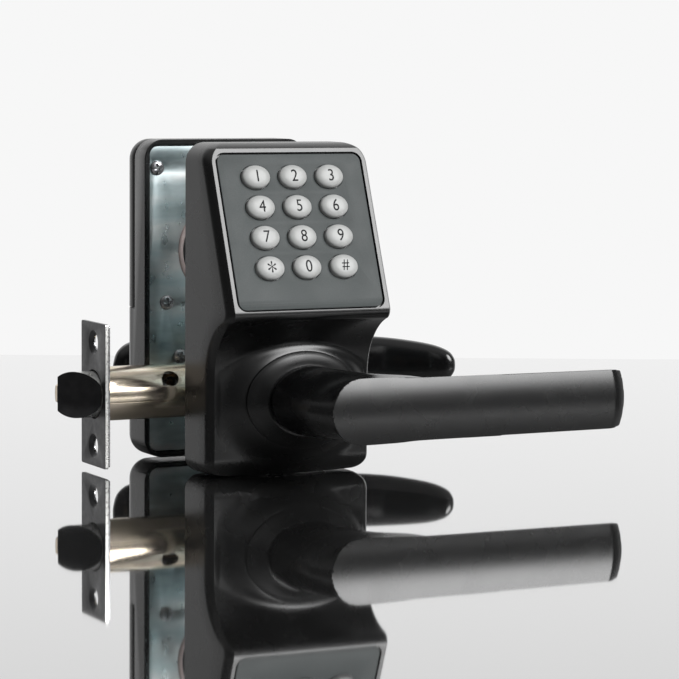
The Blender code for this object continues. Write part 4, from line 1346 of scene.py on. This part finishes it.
def make_grommet():
    outer = CABLE_HOLE_RADIUS - GAP
    near, far = PLATE_FRONT - 0.4, PLATE_FRONT + 2.4
    profile = [(outer, near + 0.3), (outer, far), (outer - 1.7, far), (outer - 1.7, near + 0.5)]
    profile += [(r, y) for r, y in arc((outer - 0.85, near + 0.5), 0.85, 180, 330, 8)]
    ring = spin("cable_grommet_ring", profile, center=(0.0, CABLE_HOLE_Z))
    finish_piece(ring, GROMMET, "lock_body", ("cable_grommet",))


def make_gasket():
    outline = rounded(34.4, -29.2, 99.2, 5.0, 7.4)
    inside = rounded(31.6, -26.4, 96.4, 3.4, 5.6)
    ring = plate("door_gasket", [outline, inside], "Y", -19.9, -19.0, 0.15)
    finish_piece(ring, GASKET, "lock_body", ("outside_gasket",))


# ---------------------------------------------------------------- the parts kept from the frame


def dress_frame():
    """Gives each part that stays as it is its material."""
    looks = {
        "keypad_mat": RUBBER,
        "keypad_circuit_board": BOARD,
        "control_board": BOARD,
        "outside_base_plate": ZINC,
        "latch_case": CHAMPAGNE,
        "deadlatch_plunger": CHAMPAGNE,
        "cable_harness": RUBBER,
        "battery_tray": PLASTIC,
        "through_bolt_1": THREAD,
        "through_bolt_2": THREAD,
    }
    for i in range(4):
        looks[f"battery_{i + 1}"] = BATTERY
    for name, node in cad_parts.items():
        material = looks.get(name, STEEL)
        if not node.material_slots:
            node.data.materials.append(material)
        for slot in node.material_slots:
            slot.material = material


# ---------------------------------------------------------------- the studio


def make_camera():
    look = Vector(
        (
            math.sin(CAMERA_YAW) * math.cos(CAMERA_PITCH),
            math.cos(CAMERA_YAW) * math.cos(CAMERA_PITCH),
            math.sin(CAMERA_PITCH),
        )
    )
    level = Vector((math.cos(CAMERA_YAW), -math.sin(CAMERA_YAW), 0.0))
    above = level.cross(look)
    right = level * math.cos(CAMERA_ROLL) + above * math.sin(CAMERA_ROLL)
    up = above * math.cos(CAMERA_ROLL) - level * math.sin(CAMERA_ROLL)
    data = bpy.data.cameras.new("camera")
    data.lens = CAMERA_LENS
    data.sensor_width = 36.0
    data.clip_start = 0.05
    data.clip_end = 50.0
    camera = link(bpy.data.objects.new("camera", data))
    turn = Matrix((right, up, -look)).transposed().to_4x4()
    camera.matrix_world = Matrix.Translation(CAMERA_PLACE * MM) @ turn
    bpy.context.scene.camera = camera


def make_floor():
    """A pale table that ends a little way behind the lock."""
    ahead = Vector((math.sin(CAMERA_YAW), math.cos(CAMERA_YAW), 0.0))
    side = Vector((ahead.y, -ahead.x, 0.0))
    left, right = -TABLE_REACH, TABLE_REACH
    corners = []
    for across, along in ((left, TABLE_NEAR), (right, TABLE_NEAR), (right, TABLE_FAR), (left, TABLE_FAR)):
        corners.append(tuple(side * across + ahead * along + Vector((0.0, 0.0, FLOOR_Z))))
    table = mesh_object("table", corners, [(0, 1, 2, 3)])
    table.data.materials.append(floor_material())


def heading(azimuth, elevation):
    """A unit vector from an azimuth, counted from +X towards +Y, and an elevation, in degrees."""
    turn, rise = math.radians(azimuth), math.radians(elevation)
    return Vector((math.cos(rise) * math.cos(turn), math.cos(rise) * math.sin(turn), math.sin(rise)))


def make_world():
    """White behind the lock and dark in front of it, with a large soft light high on the right."""
    world = bpy.data.worlds.new("studio")
    bpy.context.scene.world = world
    world.use_nodes = True
    nodes, links = world.node_tree.nodes, world.node_tree.links
    place = nodes.new("ShaderNodeTexCoord").outputs["Generated"]
    total = None
    for azimuth, elevation, even, faded, level in STUDIO:
        toward = nodes.new("ShaderNodeVectorMath")
        toward.operation = "DOT_PRODUCT"
        toward.inputs[1].default_value = heading(azimuth, elevation)
        links.new(place, toward.inputs[0])
        lobe = nodes.new("ShaderNodeMapRange")
        lobe.interpolation_type = "SMOOTHSTEP"
        lobe.inputs["From Min"].default_value = math.cos(math.radians(faded))
        lobe.inputs["From Max"].default_value = math.cos(math.radians(even))
        lobe.inputs["To Max"].default_value = level
        links.new(toward.outputs["Value"], lobe.inputs["Value"])
        if total is None:
            total = lobe.outputs["Result"]
            continue
        add = nodes.new("ShaderNodeMath")
        links.new(total, add.inputs[0])
        links.new(lobe.outputs["Result"], add.inputs[1])
        total = add.outputs["Value"]
    nodes["Background"].inputs["Color"].default_value = (1.0, 1.0, 1.0, 1.0)
    links.new(total, nodes["Background"].inputs["Strength"])


make_camera()
make_floor()
make_world()
bpy.context.scene.view_settings.view_transform = "Standard"

dress_frame()
make_outside_housing()
make_keypad_plate()
for key_name, key_x, key_y in key_places():
    make_key(key_name, key_x, key_y)
make_outside_collar()
make_outside_lever()
make_gasket()
make_faceplate()
make_tube()
make_bolt()
make_latch_spring()
make_zinc_plate()
make_screws()
make_grommet()
make_inside_case()
make_inside_collar()
make_inside_lever()
